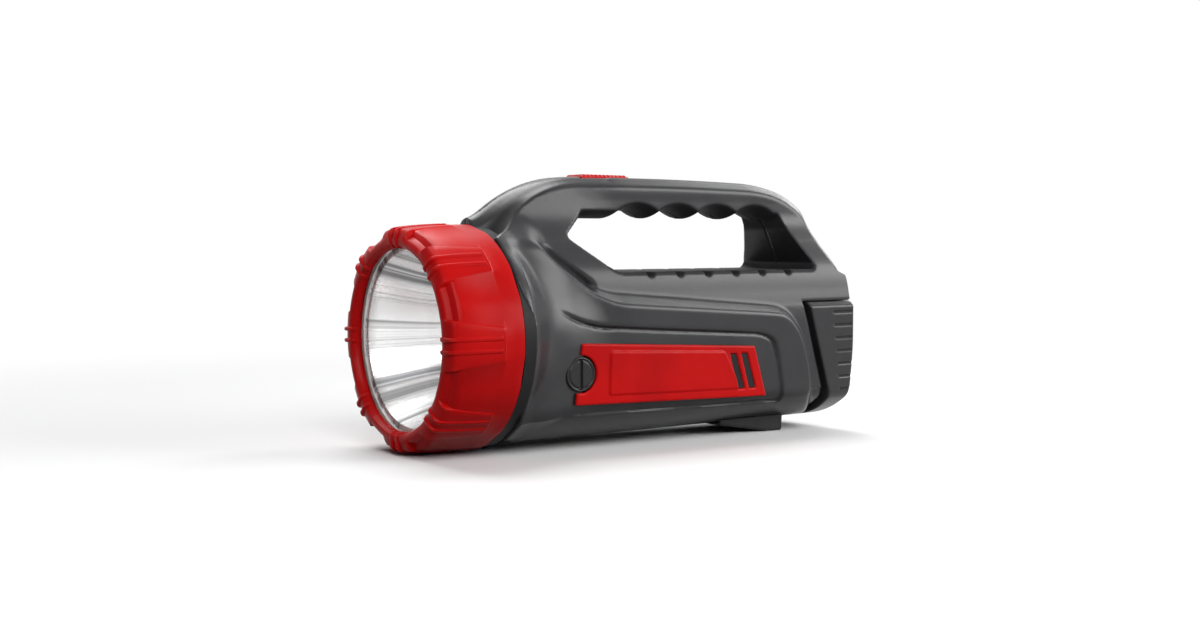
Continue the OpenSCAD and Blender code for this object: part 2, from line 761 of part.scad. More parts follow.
module rear_cap_screws() {
    color(steel) for (p = cap_screws) {
        rod_x(3, cap_screw_x + 12, cap_screw_x + 14.4, p[0], p[1]);
        rod_x(1.5, cap_screw_x - 14, cap_screw_x + 12 + eps, p[0], p[1]);
    }
}

module charge_board() {
    color([0.1, 0.4, 0.2])
        block(charge_x, charge_x + board_t, -charge_half, charge_half, socket_z - 24, socket_z + 8);
}

module charge_socket() {
    inside = body_len - wall;
    color(rubber_black) difference() {
        union() {
            rod_x(5.6, charge_x + board_t, inside, 0, socket_z);
            rod_x(4, inside - 1, body_len - 0.2, 0, socket_z);
        }
        rod_x(2.8, inside - 8, body_len + 1, 0, socket_z);
    }
    color(steel) rod_x(0.9, inside - 9, body_len - 1.4, 0, socket_z);
}

module charge_flap() {
    color(rubber_black) difference() {
        union() {
            block(flap_x, flap_x + flap_t, -flap_half, flap_half, socket_z - 8, flap_axis_z - 1);
            rod_y(1.7, -flap_half, flap_half, flap_axis_x, flap_axis_z);
            block(flap_x + flap_t - eps, flap_x + flap_t + 1, -4, 4, socket_z - 7.6, socket_z - 5.6);
        }
        rod_y(0.8 + fit, -60, 60, flap_axis_x, flap_axis_z);
    }
}

module flap_pin() {
    color(steel) rod_y(0.8, -flap_half - 3, flap_half + 3, flap_axis_x, flap_axis_z);
}

module charge_lights() {
    color([0.5, 0.9, 0.5]) for (y = [-13, 13])
        rod_x(1.5, charge_x + board_t, body_len + 0.3, y, socket_z - 4);
}

module housing_screws() {
    color(steel) for (s = joint_screws) {
        rod_y(3, 6, 8.2, s[0], s[1]);
        rod_y(1.5, -9.5, 6 + eps, s[0], s[1]);
    }
}

module foot() {
    color(rubber_black) {
        difference() {
            across(-foot_half, foot_half) polygon([
                [foot_x1, -38], [foot_x1, -body_r + 0.2], [foot_x2, sole_z(foot_x2)],
                [foot_x3, sole_z(foot_x3)], [foot_x3 + 1, -38]]);
            rod_x(body_r + fit, 0, body_len);
        }
        for (x = [foot_x1 + 12, foot_x2]) translate([x, 0, -body_r - 1.5]) cylinder(r = 2.1, h = 6.5);
    }
}

module led_leads() {
    color(trim_red) lead_pair(led_route);
}

module switch_leads() {
    color(trim_red) lead_pair(switch_route);
}

module battery_leads() {
    color(rubber_black) lead(battery_minus);
    color(trim_red) lead(battery_plus);
}

module charge_leads() {
    color(rubber_black) lead_pair(charge_route);
}

stand() housing_left();
stand() housing_right();
stand() bezel();
stand() head_ring();
stand() lens();
stand() lens_gasket();
stand() reflector();
stand() led_board();
stand() led_emitter();
stand() heat_sink();
stand() switch_slider();
stand() switch_lever();
stand() slide_switch();
stand() side_cover();
stand() cover_seal();
stand() coin_lock();
stand() lock_wing();
stand() side_trim();
stand() battery_tray();
stand() battery_cells();
stand() battery_contacts();
stand() driver_board();
stand() rear_cap();
stand() rear_cap_screws();
stand() charge_board();
stand() charge_socket();
stand() charge_flap();
stand() flap_pin();
stand() charge_lights();
stand() housing_screws();
stand() foot();
stand() led_leads();
stand() switch_leads();
stand() battery_leads();
stand() charge_leads();
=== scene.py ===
# %% [markdown]
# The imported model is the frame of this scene: every piece of the lamp is already there, in metres,
# at its real place. The lamp leans on its foot, so its own axes are read from the joint on which
# its head ring turns. All shapes below are written in millimetres on those axes: X runs from the
# head to the rear cap, Y to the lamp's right and Z up, with X 0 at the head ring's rear edge.

# %% Load the frame
import json
import math
import bpy
import numpy as np
from mathutils import Matrix, Vector


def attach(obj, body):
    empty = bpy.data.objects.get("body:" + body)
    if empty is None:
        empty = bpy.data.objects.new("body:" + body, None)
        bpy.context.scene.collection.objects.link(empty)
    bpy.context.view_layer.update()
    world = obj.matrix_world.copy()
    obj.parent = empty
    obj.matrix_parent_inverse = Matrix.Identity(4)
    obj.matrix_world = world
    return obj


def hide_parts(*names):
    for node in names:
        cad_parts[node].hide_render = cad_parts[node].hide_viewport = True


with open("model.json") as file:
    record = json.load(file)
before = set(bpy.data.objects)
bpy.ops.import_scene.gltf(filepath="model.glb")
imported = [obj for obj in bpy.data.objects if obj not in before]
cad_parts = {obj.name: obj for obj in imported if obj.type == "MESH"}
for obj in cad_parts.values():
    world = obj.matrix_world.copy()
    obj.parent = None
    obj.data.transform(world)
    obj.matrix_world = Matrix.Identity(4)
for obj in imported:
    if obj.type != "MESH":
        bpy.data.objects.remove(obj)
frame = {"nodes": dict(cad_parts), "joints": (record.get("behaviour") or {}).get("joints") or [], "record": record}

scene = bpy.context.scene
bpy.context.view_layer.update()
joints = {joint["name"]: joint for joint in frame["joints"]}
fore_aft = Vector(joints["bezel_turn"]["axis"]).normalized()
sideways = Vector((0, 1, 0))
upward = fore_aft.cross(sideways)
LEAN = math.asin(fore_aft.z)
MM = 0.001
LAMP = Matrix.Translation(joints["bezel_turn"]["pos_m"]) @ Matrix(
    (fore_aft, sideways, upward)).transposed().to_4x4()

# %% [markdown]
# The camera stands in front of the lamp and to its left, a little above its axis. Its lens, its
# distance and its angles were found by fitting the ellipses of the head ring. The picture is 1200
# pixels wide, and the lamp's origin falls on one named pixel, which is how the aim is set without
# any lens shift.

# %% Camera
PICTURE = (1200, 630)
SENSOR = 36.0
FOCAL_PX = 1400.0
ORIGIN_PX = (464.3, 336.8)
CAMERA_YAW = math.radians(-36.25)
CAMERA_PITCH = math.radians(3.11)
CAMERA_DISTANCE = 586.4

back = Vector((math.sin(CAMERA_YAW) * math.cos(CAMERA_PITCH),
               -math.cos(CAMERA_YAW) * math.cos(CAMERA_PITCH), math.sin(CAMERA_PITCH)))
right = Vector((math.cos(CAMERA_YAW), math.sin(CAMERA_YAW), 0))
above = back.cross(right)
per_px = CAMERA_DISTANCE / FOCAL_PX
stand_point = back * CAMERA_DISTANCE
stand_point -= right * (ORIGIN_PX[0] - PICTURE[0] / 2) * per_px
stand_point += above * (ORIGIN_PX[1] - PICTURE[1] / 2) * per_px

lens_data = bpy.data.cameras.new("camera")
lens_data.sensor_width = SENSOR
lens_data.lens = FOCAL_PX / PICTURE[0] * SENSOR
lens_data.clip_start = 0.01
camera = bpy.data.objects.new("camera", lens_data)
camera.matrix_world = LAMP @ (Matrix.Translation(stand_point * MM)
                              @ Matrix((right, above, back)).transposed().to_4x4())
scene.collection.objects.link(camera)
scene.camera = camera
print("camera at", [round(v, 3) for v in camera.matrix_world.translation])

# %% [markdown]
# A finish is a small graph of shader nodes. Writing such a graph by hand takes many lines, so one
# class wraps a socket: arithmetic on it adds Math nodes, and one method adds any other node from
# its type, its settings and the values or links of its sockets.

# %% Shader arithmetic
class Wire:
    """An output socket; plus, minus and times on it add Math nodes."""

    def __init__(self, tree, socket=None):
        self.tree = tree
        self.socket = socket

    def plug(self, target, value):
        """Links a wire to a socket, or sets the socket's own value."""
        if isinstance(value, Wire):
            self.tree.links.new(value.socket, target)
        else:
            target.default_value = value

    def node(self, kind, settings=(), sockets=(), output=0):
        """Adds a node with its settings and sockets, and returns one of its outputs."""
        made = self.tree.nodes.new("ShaderNode" + kind)
        for name, value in dict(settings).items():
            setattr(made, name, value)
        for name, value in dict(sockets).items():
            self.plug(made.inputs[name], value)
        return Wire(self.tree, made.outputs[output])

    def math(self, operation, first, second=0.0):
        return self.node("Math", {"operation": operation}, {0: first, 1: second})

    def __add__(self, other):
        return self.math("ADD", self, other)

    def __radd__(self, other):
        return self.math("ADD", other, self)

    def __sub__(self, other):
        return self.math("SUBTRACT", self, other)

    def __rsub__(self, other):
        return self.math("SUBTRACT", other, self)

    def __mul__(self, other):
        return self.math("MULTIPLY", self, other)

    def ramp(self, low, high):
        """0 at low, 1 at high, eased between them."""
        settings = {"interpolation_type": "SMOOTHSTEP"}
        return self.node("MapRange", settings, {"Value": self, "From Min": low, "From Max": high})

    def blend(self, dark, light):
        """A colour between two, with this value as the share of the second."""
        return self.node("Mix", {"data_type": "RGBA"}, {0: self, 6: dark, 7: light}, 2)

    def noise(self, scale, detail=2.0, roughness=0.5):
        """Cloudy values about 0.5, with this socket as the place."""
        sockets = {"Vector": self, "Scale": scale, "Detail": detail, "Roughness": roughness}
        return self.node("TexNoise", {}, sockets)


FINISHES = {}


def finish(name, constants=()):
    """Starts a material, kept by its name; returns the place wire, which carries the shader's sockets."""
    material = bpy.data.materials.new(name)
    material.use_nodes = True
    tree = material.node_tree
    shader = tree.nodes["Principled BSDF"]
    for socket, value in dict(constants).items():
        shader.inputs[socket].default_value = value
    place = Wire(tree).node("TexCoord", output="Object")
    place.shader = shader.inputs
    FINISHES[name] = material
    return place


def grain(place, height, depth, strength):
    """Fine relief of the surface, as a bump on the shader's normal."""
    bump = place.node("Bump", {}, {"Strength": strength, "Distance": depth, "Height": height})
    place.plug(place.shader["Normal"], bump)


def paint(place, colour, roughness):
    """Links a colour and a roughness to the shader."""
    place.plug(place.shader["Base Color"], colour)
    place.plug(place.shader["Roughness"], roughness)


print("shader arithmetic ready")

# %% [markdown]
# The big mouldings are a dark grey plastic with a satin face. On the real lamp it is never one even grey: the
# surface is slightly cloudy and the corners are rubbed paler and shinier by hands. Cycles measures how sharp the
# surface bends at each point, which finds the corners and the hollows of a finely meshed shell; the hollows get a
# painted shade. In the hand hole, beside the nose and in the grooves, a value on the mesh paints a deeper shade:
# it makes the skin much darker, and rougher.

# %% Grey housing plastic
GREY_DARK = (0.020, 0.020, 0.022, 1)
GREY_PALE = (0.026, 0.026, 0.028, 1)
GREY_RUBBED = (0.052, 0.052, 0.055, 1)
# painted shade for the hollows of the shell
GREY_HOLLOW_SHADE = (0.011, 0.011, 0.012, 1)
# painted shade for the hand hole, the nose's hollows and the grooves
GREY_PAINTED_SHADE = (0.006, 0.006, 0.007, 1)


def grey_plastic(name, shade=1.0):
    """Satin grey moulding; shade below 1 gives a darker batch of the same plastic."""
    tones = [tuple(shade * c for c in tone[:3]) + (1,)
             for tone in (GREY_DARK, GREY_PALE, GREY_RUBBED, GREY_HOLLOW_SHADE)]
    place = finish(name, {"Specular IOR Level": 0.26, "IOR": 1.5})
    cloud = place.noise(38.0, 4.0)
    bend = place.node("NewGeometry", output="Pointiness")
    patchy = place.noise(160.0, 3.0).ramp(0.35, 0.65)
    edge = bend.ramp(0.52, 0.60) * (0.35 + patchy * 0.65)
    # painted shade: hollows found by the bend are darkened towards the hollow tone
    hollow = 1 - bend.ramp(0.40, 0.49)
    base = cloud.ramp(0.3, 0.7).blend(tones[0], tones[1])
    base = (hollow * 0.7).blend(base, tones[3])
    base = (edge * 0.55).blend(base, tones[2])
    # painted shade: the mesh value makes these places much darker, and rougher
    painted_shade = place.node("Attribute", {"attribute_name": "inner"}, output="Fac")
    base = (painted_shade * 0.95).blend(base, GREY_PAINTED_SHADE)
    scuff = place.noise(420.0, 5.0, 0.7).ramp(0.45, 0.75)
    paint(place, base, 0.25 + cloud * 0.08 + scuff * 0.06 - edge * 0.05 + painted_shade * 0.45)
    grain(place, place.noise(2600.0, 3.0), 0.00006, 0.5)


grey_plastic("housing_grey")
grey_plastic("cap_grey", 0.8)
grey_plastic("lock_grey", 0.4)
print("grey plastic ready")

# %% [markdown]
# The head ring, the thumb slide and the side panels are a saturated red moulding. The colour is a
# little cloudy, faint flow marks break the gloss, and the proud corners of the ribs are rubbed
# paler.

# %% Red trim plastic
RED_DEEP = (0.43, 0.0025, 0.003, 1)
RED_CLEAR = (0.54, 0.004, 0.004, 1)
RED_RUBBED = (0.66, 0.045, 0.036, 1)

place = finish("trim_red", {"Specular IOR Level": 0.08, "IOR": 1.5})
cloud = place.noise(30.0, 3.0)
flow = place.noise(210.0, 5.0, 0.65)
bend = place.node("NewGeometry", output="Pointiness")
edge = bend.ramp(0.53, 0.63) * place.noise(220.0, 2.0).ramp(0.3, 0.65)
base = cloud.ramp(0.3, 0.7).blend(RED_DEEP, RED_CLEAR)
base = (edge * 0.5).blend(base, RED_RUBBED)
paint(place, base, 0.26 + flow * 0.12 + edge * 0.1)
grain(place, place.noise(900.0, 3.0), 0.00004, 0.35)
print("red plastic ready")

# %% [markdown]
# The dark pieces are of two kinds: hard black mouldings such as the collar and the battery tray,
# and soft rubber for the foot, the flap and the seals. Rubber is duller, greyer where it is
# dusty, and has a coarser skin. The seal behind the lens is the same rubber in a pale colour.

# %% Black plastic and rubber
def black_plastic(name, low, high):
    place = finish(name, {"Specular IOR Level": 0.14})
    cloud = place.noise(60.0, 4.0)
    base = cloud.ramp(0.3, 0.7).blend(low, high)
    paint(place, base, 0.38 + place.noise(500.0, 4.0) * 0.18)
    grain(place, place.noise(2200.0, 3.0), 0.00005, 0.5)


def rubber(name, clean=(0.011, 0.011, 0.012, 1), dusty=(0.034, 0.033, 0.032, 1)):
    place = finish(name, {"Specular IOR Level": 0.25})
    dust = place.noise(90.0, 5.0, 0.6).ramp(0.4, 0.75)
    paint(place, dust.blend(clean, dusty), 0.62 + dust * 0.2)
    grain(place, place.noise(1300.0, 3.0), 0.0001, 0.6)


black_plastic("collar_black", (0.007, 0.007, 0.008, 1), (0.012, 0.012, 0.013, 1))
# painted shade: near-black for the bars at the bottoms of the panel slots
black_plastic("slot_shade_black", (0.006, 0.006, 0.007, 1), (0.011, 0.011, 0.012, 1))
rubber("soft_rubber")
rubber("seal_pale", (0.62, 0.62, 0.61, 1), (0.50, 0.50, 0.49, 1))
print("black finishes ready")

# %% [markdown]
# Metals come next. The reflector is a plastic bowl with a bright metal skin whose colour carries painted
# reflections: broad dark streaks that run from the neck to the rim. They are drawn by the angle about the lamp's
# axis, so a noise is sampled on a circle. The heat sink, the plated screws and contacts are duller, with fine
# brushing.

# %% Metals
# the dark of the painted reflections in the bowl
BOWL_PAINTED_REFLECTION = (0.24, 0.245, 0.25, 1)
BOWL_BRIGHT = (0.98, 0.98, 0.98, 1)
BRUSHING = (1.0, 14.0, 14.0)

place = finish("reflector_chrome", {"Metallic": 0.8})
on_axis = place.node("Mapping", {"vector_type": "TEXTURE"}, {
    "Vector": place, "Location": tuple(LAMP.translation), "Rotation": (0.0, -LEAN, 0.0)})
around = place.node("VectorMath", {"operation": "MULTIPLY"}, {0: on_axis, 1: (0.0, 1.0, 1.0)})
ring = place.node("VectorMath", {"operation": "NORMALIZE"}, {0: around})
# painted reflection: broad dark streaks from the neck to the rim
reflection_streak = ring.noise(4.0, 3.0, 0.6)
fine = ring.noise(22.0, 3.0)
tone = (reflection_streak * 0.8 + fine * 0.2).ramp(0.38, 0.52)
paint(place, tone.blend(BOWL_PAINTED_REFLECTION, BOWL_BRIGHT), 0.34 - tone * 0.08)


def dull_metal(name, dark, light, rough):
    place = finish(name, {"Metallic": 1.0})
    drawn = place.node("Mapping", {}, {"Vector": place, "Scale": BRUSHING})
    lines = drawn.noise(120.0, 4.0, 0.6)
    paint(place, lines.ramp(0.3, 0.7).blend(dark, light), rough + lines * 0.2)


dull_metal("sink_aluminium", (0.5, 0.51, 0.52, 1), (0.7, 0.71, 0.72, 1), 0.3)
dull_metal("steel", (0.52, 0.52, 0.53, 1), (0.76, 0.76, 0.77, 1), 0.18)
print("metals ready")

# %% [markdown]
# The lens is a thin clear moulding with nearly parallel faces, so the bowl behind it shows almost
# as if it weren't there. A low index of refraction gives that, a thin coat keeps some gloss, and
# faint haze in the roughness stands for wiping marks. The light pipes are clear mouldings too, with
# a green tint, and the emitter shows the yellow of its phosphor.

# %% Clear mouldings
def clear_plastic(name, tint, rough, haze):
    place = finish(name, {"Transmission Weight": 1.0, "IOR": 1.04, "Coat Weight": 0.15})
    wipe = place.noise(140.0, 5.0, 0.7).ramp(0.45, 0.8)
    wiped = tuple(0.97 * c for c in tint[:3]) + (1,)
    paint(place, wipe.blend(tint, wiped), rough + wipe * haze)


clear_plastic("clear_lens", (1.0, 1.0, 1.0, 1), 0.0, 0.015)
clear_plastic("light_pipe", (0.6, 0.95, 0.62, 1), 0.15, 0.1)

place = finish("emitter", {"Specular IOR Level": 0.6})
speck = place.noise(3000.0, 2.0)
phosphor = speck.blend((0.8, 0.62, 0.12, 1), (0.9, 0.78, 0.3, 1))
paint(place, phosphor, 0.2 + speck * 0.15)
print("clear finishes ready")

# %% [markdown]
# Some of the pieces inside show when the battery cover is off. The circuit boards have green or
# white lacquer over copper tracks, so a net of thin lines is enough at this scale; the cells wear
# a plain printed wrap with one pale band, and the leads have soft red insulation.

# %% Boards, cells and leads
def lacquered_board(name, base, track):
    place = finish(name, {"Specular IOR Level": 0.5})
    cells = place.node("TexVoronoi", {"feature": "DISTANCE_TO_EDGE"}, {"Vector": place, "Scale": 260.0})
    line = 1 - cells.ramp(0.02, 0.07)
    paint(place, (line * 0.6).blend(base, track), 0.3 + place.noise(300.0) * 0.15)
    grain(place, line, 0.0001, 0.4)


lacquered_board("board_green", (0.012, 0.11, 0.045, 1), (0.05, 0.24, 0.1, 1))
lacquered_board("board_white", (0.72, 0.73, 0.72, 1), (0.55, 0.56, 0.56, 1))

WRAP_BAND = (0.0145, 0.0205)
BAND_EDGE = 0.0002
place = finish("cell_wrap", {"Specular IOR Level": 0.5})
along = place.node("SeparateXYZ", {}, {"Vector": place})
start, end = WRAP_BAND
band = along.ramp(start, start + BAND_EDGE) - along.ramp(end, end + BAND_EDGE)
cloud = place.noise(200.0, 3.0)
wrap = cloud.blend((0.05, 0.16, 0.09, 1), (0.08, 0.22, 0.12, 1))
paint(place, band.blend(wrap, (0.7, 0.7, 0.66, 1)), 0.25 + cloud * 0.15)

place = finish("lead_cover")
cloud = place.noise(300.0, 3.0)
base = cloud.blend((0.22, 0.012, 0.012, 1), (0.32, 0.025, 0.022, 1))
paint(place, base, 0.45 + cloud * 0.15)
print("boards, cells and leads ready")

# %% Finishes on the CAD pieces
for entry in frame["record"]["subparts"]:
    mesh = frame["nodes"][entry["node"]].data
    mesh.materials.clear()
    mesh.materials.append(FINISHES[entry["material_slot"]])
frame["nodes"]["lens_gasket"].data.materials[0] = FINISHES["seal_pale"]

# %% [markdown]
# Moulded shells have soft corners, hollows that fade out and walls of even thickness. Such a shape
# is easiest to state as a distance: a formula that is negative inside the plastic and positive
# outside. Two forms join or cut each other by taking the smaller or the larger of their distances,
# and a soft minimum or maximum gives the fillet. The surface where the distance is zero is then
# meshed: each grid cell that the surface crosses gets one point, and the point slides down the
# slope of the formula until it lies on the surface.

# %% Distances
def soft_max(a, b, k):
    """The larger of two distances, with a fillet about k wide."""
    near = np.maximum(k - np.abs(a - b), 0) / k
    return np.maximum(a, b) + near * near * k / 4


def soft_min(a, b, k):
    return -soft_max(-a, -b, k)


def ease(low, high, value):
    """0 below low, 1 above high, eased between them."""
    t = np.clip((value - low) / (high - low), 0, 1)
    return t * t * (3 - 2 * t)


def rounded(corners, steps=6):
    """An outline from (x, z, radius) corners, each turned into a curve of about that radius."""
    points = np.array([c[:2] for c in corners], float)
    outline_points = []
    for i, corner in enumerate(corners):
        here = points[i]
        before = points[i - 1] - here
        after = points[(i + 1) % len(points)] - here
        reach = corner[2] if len(corner) > 2 else 0
        reach = min(reach, 0.48 * np.linalg.norm(before), 0.48 * np.linalg.norm(after))
        if reach == 0:
            outline_points.append(here)
            continue
        start = here + before / np.linalg.norm(before) * reach
        end = here + after / np.linalg.norm(after) * reach
        for t in np.linspace(0, 1, steps):
            outline_points.append((1 - t) ** 2 * start + 2 * t * (1 - t) * here + t * t * end)
    return np.array(outline_points)


def outline(points):
    """The signed distance to a closed outline in a plane, as a function of two coordinates."""
    starts = np.array(points, float)
    ends = np.roll(starts, -1, 0)

    def distance(u, v):
        u, v = np.broadcast_arrays(u, v)
        nearest = np.full(u.shape, 1e9)
        inside = np.zeros(u.shape, bool)
        for (u1, v1), (u2, v2) in zip(starts, ends):
            du = u2 - u1
            dv = v2 - v1
            t = np.clip(((u - u1) * du + (v - v1) * dv) / max(du * du + dv * dv, 1e-12), 0, 1)
            nearest = np.minimum(nearest, (u - u1 - t * du) ** 2 + (v - v1 - t * dv) ** 2)
            if dv != 0:
                inside ^= ((v1 > v) != (v2 > v)) & (u < du * (v - v1) / dv + u1)
        return np.where(inside, -1, 1) * np.sqrt(nearest)

    return distance


def flowing(xs, ys):
    """A smooth curve through points, as a function; flat beyond both ends."""
    xs = np.array(xs, float)
    ys = np.array(ys, float)
    slopes = np.gradient(ys, xs)

    def value(x):
        x = np.clip(x, xs[0], xs[-1])
        i = np.clip(np.searchsorted(xs, x) - 1, 0, len(xs) - 2)
        span = xs[i + 1] - xs[i]
        t = (x - xs[i]) / span
        rise = ys[i] * (1 + 2 * t) * (1 - t) ** 2 + ys[i + 1] * t * t * (3 - 2 * t)
        return rise + span * (slopes[i] * t * (1 - t) ** 2 - slopes[i + 1] * t * t * (1 - t))

    return value


def box(x, y, z, low, high):
    """Distance to a block between two corners."""
    sides = [np.maximum(a - v, v - b) for v, a, b in zip((x, y, z), low, high)]
    return np.maximum(np.maximum(sides[0], sides[1]), sides[2])


def cut(shape, first, second, fillet=0):
    """A shape without the space where two other distances are both negative."""
    space = -np.maximum(first, second)
    return soft_max(shape, space, fillet) if fillet else np.maximum(shape, space)


print("distance formulas ready")

# %% Meshing a distance
def skin(field, low, high, step):
    """Points and quads of the surface where field(x, y, z) is zero, inside a block."""
    axes = [np.arange(a, b + step, step) for a, b in zip(low, high)]
    values = field(axes[0][:, None, None], axes[1][None, :, None], axes[2][None, None, :])
    values = np.broadcast_to(values, [len(a) for a in axes])
    inside = values < 0
    count = np.zeros([n - 1 for n in inside.shape], np.int8)
    corners = [(i, j, k) for i in (0, 1) for j in (0, 1) for k in (0, 1)]
    for i, j, k in corners:
        count += inside[i:i - 1 or None, j:j - 1 or None, k:k - 1 or None]
    crossed = (count > 0) & (count < 8)
    number = np.full(crossed.shape, -1)
    cells = np.argwhere(crossed)
    number[crossed] = np.arange(len(cells))
    total = np.zeros((len(cells), 3))
    hits = np.zeros((len(cells), 1))
    for corner in corners:
        for axis in range(3):
            if corner[axis]:
                continue
            first = cells + corner
            second = first.copy()
            second[:, axis] += 1
            a = values[tuple(first.T)]
            b = values[tuple(second.T)]
            across = (a < 0) != (b < 0)
            point = np.tile(np.array(corner, float), (len(cells), 1))
            point[:, axis] = np.where(across, a / np.where(across, a - b, 1), 0)
            total += point * across[:, None]
            hits += across[:, None]
    places = np.array(low) + step * (cells + total / hits)
    home = places.copy()
    nudge = 0.02
    for _ in range(4):
        here = field(*places.T)
        slope = np.stack([(field(*(places + nudge * axis).T) - field(*(places - nudge * axis).T))
                          / (2 * nudge) for axis in np.eye(3)], 1)
        steep = np.maximum((slope * slope).sum(1, keepdims=True), 0.05)
        places = places - np.clip(here[:, None] * slope / steep, -0.5 * step, 0.5 * step)
        places = np.clip(places, home - 0.6 * step, home + 0.6 * step)
    quads = []
    for axis in range(3):
        ahead = np.roll(np.arange(3), -axis)
        grid = inside.transpose(ahead)
        ids = number.transpose(ahead)
        edge = grid[:-1, 1:-1, 1:-1] != grid[1:, 1:-1, 1:-1]
        i, j, k = np.nonzero(edge)
        ring = np.stack([ids[i, j, k], ids[i, j + 1, k], ids[i, j + 1, k + 1], ids[i, j, k + 1]], 1)
        leaving = grid[:-1, 1:-1, 1:-1][edge]
        quads.append(np.where(leaving[:, None], ring, ring[:, ::-1]))
    return places, np.concatenate(quads)


def piece(name, shape, body, nodes, slot, coat=None, sharp=None, inner=None):
    """A mesh object from points and faces in lamp millimetres, on a body, in place of CAD nodes.

    Its finish is the slot's, or else the one that coat names. inner is a value per point that a finish can read, 1
    where shade is painted dark into the skin."""
    points, faces = shape
    mesh = bpy.data.meshes.new(name)
    mesh.from_pydata([LAMP @ (Vector(p) * MM) for p in points], [], [list(f) for f in faces])
    if inner is not None:
        mesh.attributes.new("inner", "FLOAT", "POINT").data.foreach_set("value", inner)
    mesh.validate()
    mesh.materials.append(FINISHES[coat or slot])
    mesh.shade_smooth()
    if sharp:
        mesh.set_sharp_from_angle(angle=math.radians(sharp))
    thing = bpy.data.objects.new(name, mesh)
    scene.collection.objects.link(thing)
    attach(thing, body)
    if nodes:
        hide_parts(*nodes)
    print(name, len(mesh.vertices), "points", len(mesh.polygons), "faces")


print("mesher ready")

# %% [markdown]
# The body is one moulding split down the middle. Seen from the side it has a nose that rises from
# the collar, a level grip and a rear leg that flares to the cap. Its lower flank stands proud of
# the upper part: a sloping shelf joins the two, and towards the head the step fades into a bell.
# Each feature below is one distance; the width grows smoothly from the grip down to the flank.

# %% Body outlines
BODY_R = 46.0
COLLAR_X = 5.5
HALF_FLANK = 34.0
HANDLE_TOP = 68.0
NOSE = (52.0, -4.4, 72.4)
CAP_TOP = 11.0
GROOVE = 2.4
FIT = 0.3
SEAM_X = 168.0
CAP_LEAN = math.tan(math.radians(17))
BODY_END = 200.0
WALL = 2.6
FIELD_DEPTH = 1.2


def seam(z):
    """Where the housing ends and the rear cap begins, at a height."""
    return SEAM_X + (CAP_TOP - z) * CAP_LEAN


nose_turn = np.radians(np.linspace(20, 90, 24))
nose_line = [(NOSE[0] - NOSE[2] * math.cos(a), NOSE[1] + NOSE[2] * math.sin(a), 0) for a in nose_turn]
side_line = outline(rounded(nose_line + [
    (112, HANDLE_TOP, 30), (154, 66.9, 16), (172.5, 62.6, 9), (186.4, 54.4, 7), (189.6, 43.5, 6),
    (195, 31.7, 8), (199.6, 22.5, 6), (200.2, CAP_TOP + FIT, 1),
    (seam(CAP_TOP + FIT), CAP_TOP + FIT, 0), (seam(-70), -70, 0), (-20, -70, 0)]))
flank_line = outline(rounded([
    (-30, -70), (-30, 78), (5, 52, 0), (18.9, 39.9, 8), (32.6, 27.5, 0), (45.3, 17.3, 8), (56, 13.2, 9),
    (70, 12.1, 4), (144.3, 6.8, 6), (154, 5.6, 10), (162, -2.2, 9), (166.2, -12, 10), (168.9, -24, 10),
    (169.6, -40, 0), (169.6, -70)]))
field_line = outline(rounded([
    (10, 22), (25.7, 11.3, 6), (35.4, 6.6, 6), (46, 4.0, 6), (79.3, 1.6, 0), (137.5, -2.2, 6),
    (145.6, -5.0, 7), (149, -16, 8), (151.9, -34.6, 1.2), (64, -32.9, 0), (10, -32.4)]))
WIDTH_AT = [-14, 8, 16, 27, 40, 50, 57, 63, 68]
grip_side = flowing(WIDTH_AT, [29.6, 29.6, 28.4, 26.2, 18.8, 14.0, 13.6, 13.8, 13.2])
leg_side = flowing(WIDTH_AT, [29.6, 29.6, 28.4, 26.2, 19.2, 14.6, 12.9, 11.9, 11.0])
bell_r = flowing(
    [0.9, 3, 5.5, 8.5, 12.5, 17.5, 23, 30, 38, 46, 56],
    [46.9, 46.7, 46.2, 44.7, 41.8, 38.5, 36.0, 34.4, 32.8, 30.5, 26])


def spine_half(x, z):
    """Half the width above the flank: the grip's sides stand upright, the front leg's lean inwards."""
    return grip_side(z) + (leg_side(z) - grip_side(z)) * ease(75, 45, x)


print("side outline, flank and field drawn")

# %% Hand hole
GRIP_HALF = 13.5
GRIP_LOW = 50.0
GRIP_CROWN = 3.2
HOLE_FLOOR = 26.5
FINGERS = 4
FINGER_PITCH = 23.2
FINGER_FIRST = 81.7
FINGER_DEPTH = 3.6
FINGER_R = ((FINGER_PITCH / 2) ** 2 + FINGER_DEPTH ** 2) / (2 * FINGER_DEPTH)
NOTCHES = 6
NOTCH_FIRST = 78.6
NOTCH_PITCH = 16.4
NOTCH_R = 2.2
NOTCH_INSIDE = 17.5
hole_line = outline(rounded([
    (39.6, 42.0, 2.5), (49.8, 50.9, 4), (54, 62, 0), (160, 62, 0), (169.5, 47.5, 8), (179.2, 28.9, 2.5),
    (177.8, HOLE_FLOOR, 1), (62.6, HOLE_FLOOR, 3), (57.6, 28.7, 4)]))


def grip_underside(x, a):
    """Height of the grip's underside: four finger grooves, crowned from side to side."""
    groove = np.zeros(np.broadcast(x, a).shape)
    for i in range(FINGERS):
        middle = FINGER_FIRST + i * FINGER_PITCH
        arch = np.sqrt(np.maximum(FINGER_R ** 2 - (x - middle) ** 2, 0)) - FINGER_R + FINGER_DEPTH
        groove = soft_max(groove, arch, 0.5)
    return GRIP_LOW + GRIP_CROWN * (a / GRIP_HALF) ** 2 + groove


def hand_hole(x, a, z):
    """The way through the handle, with small notches along its floor's edges."""
    through = soft_max(hole_line(x, z), (z - grip_underside(x, a)) * 0.92, 1.2)
    for i in range(NOTCHES):
        round_cut = np.hypot(x - NOTCH_FIRST - NOTCH_PITCH * i, z - HOLE_FLOOR) - NOTCH_R
        through = np.minimum(through, np.maximum(round_cut, NOTCH_INSIDE - a))
    return through


print("finger grooves of radius", round(FINGER_R, 1))

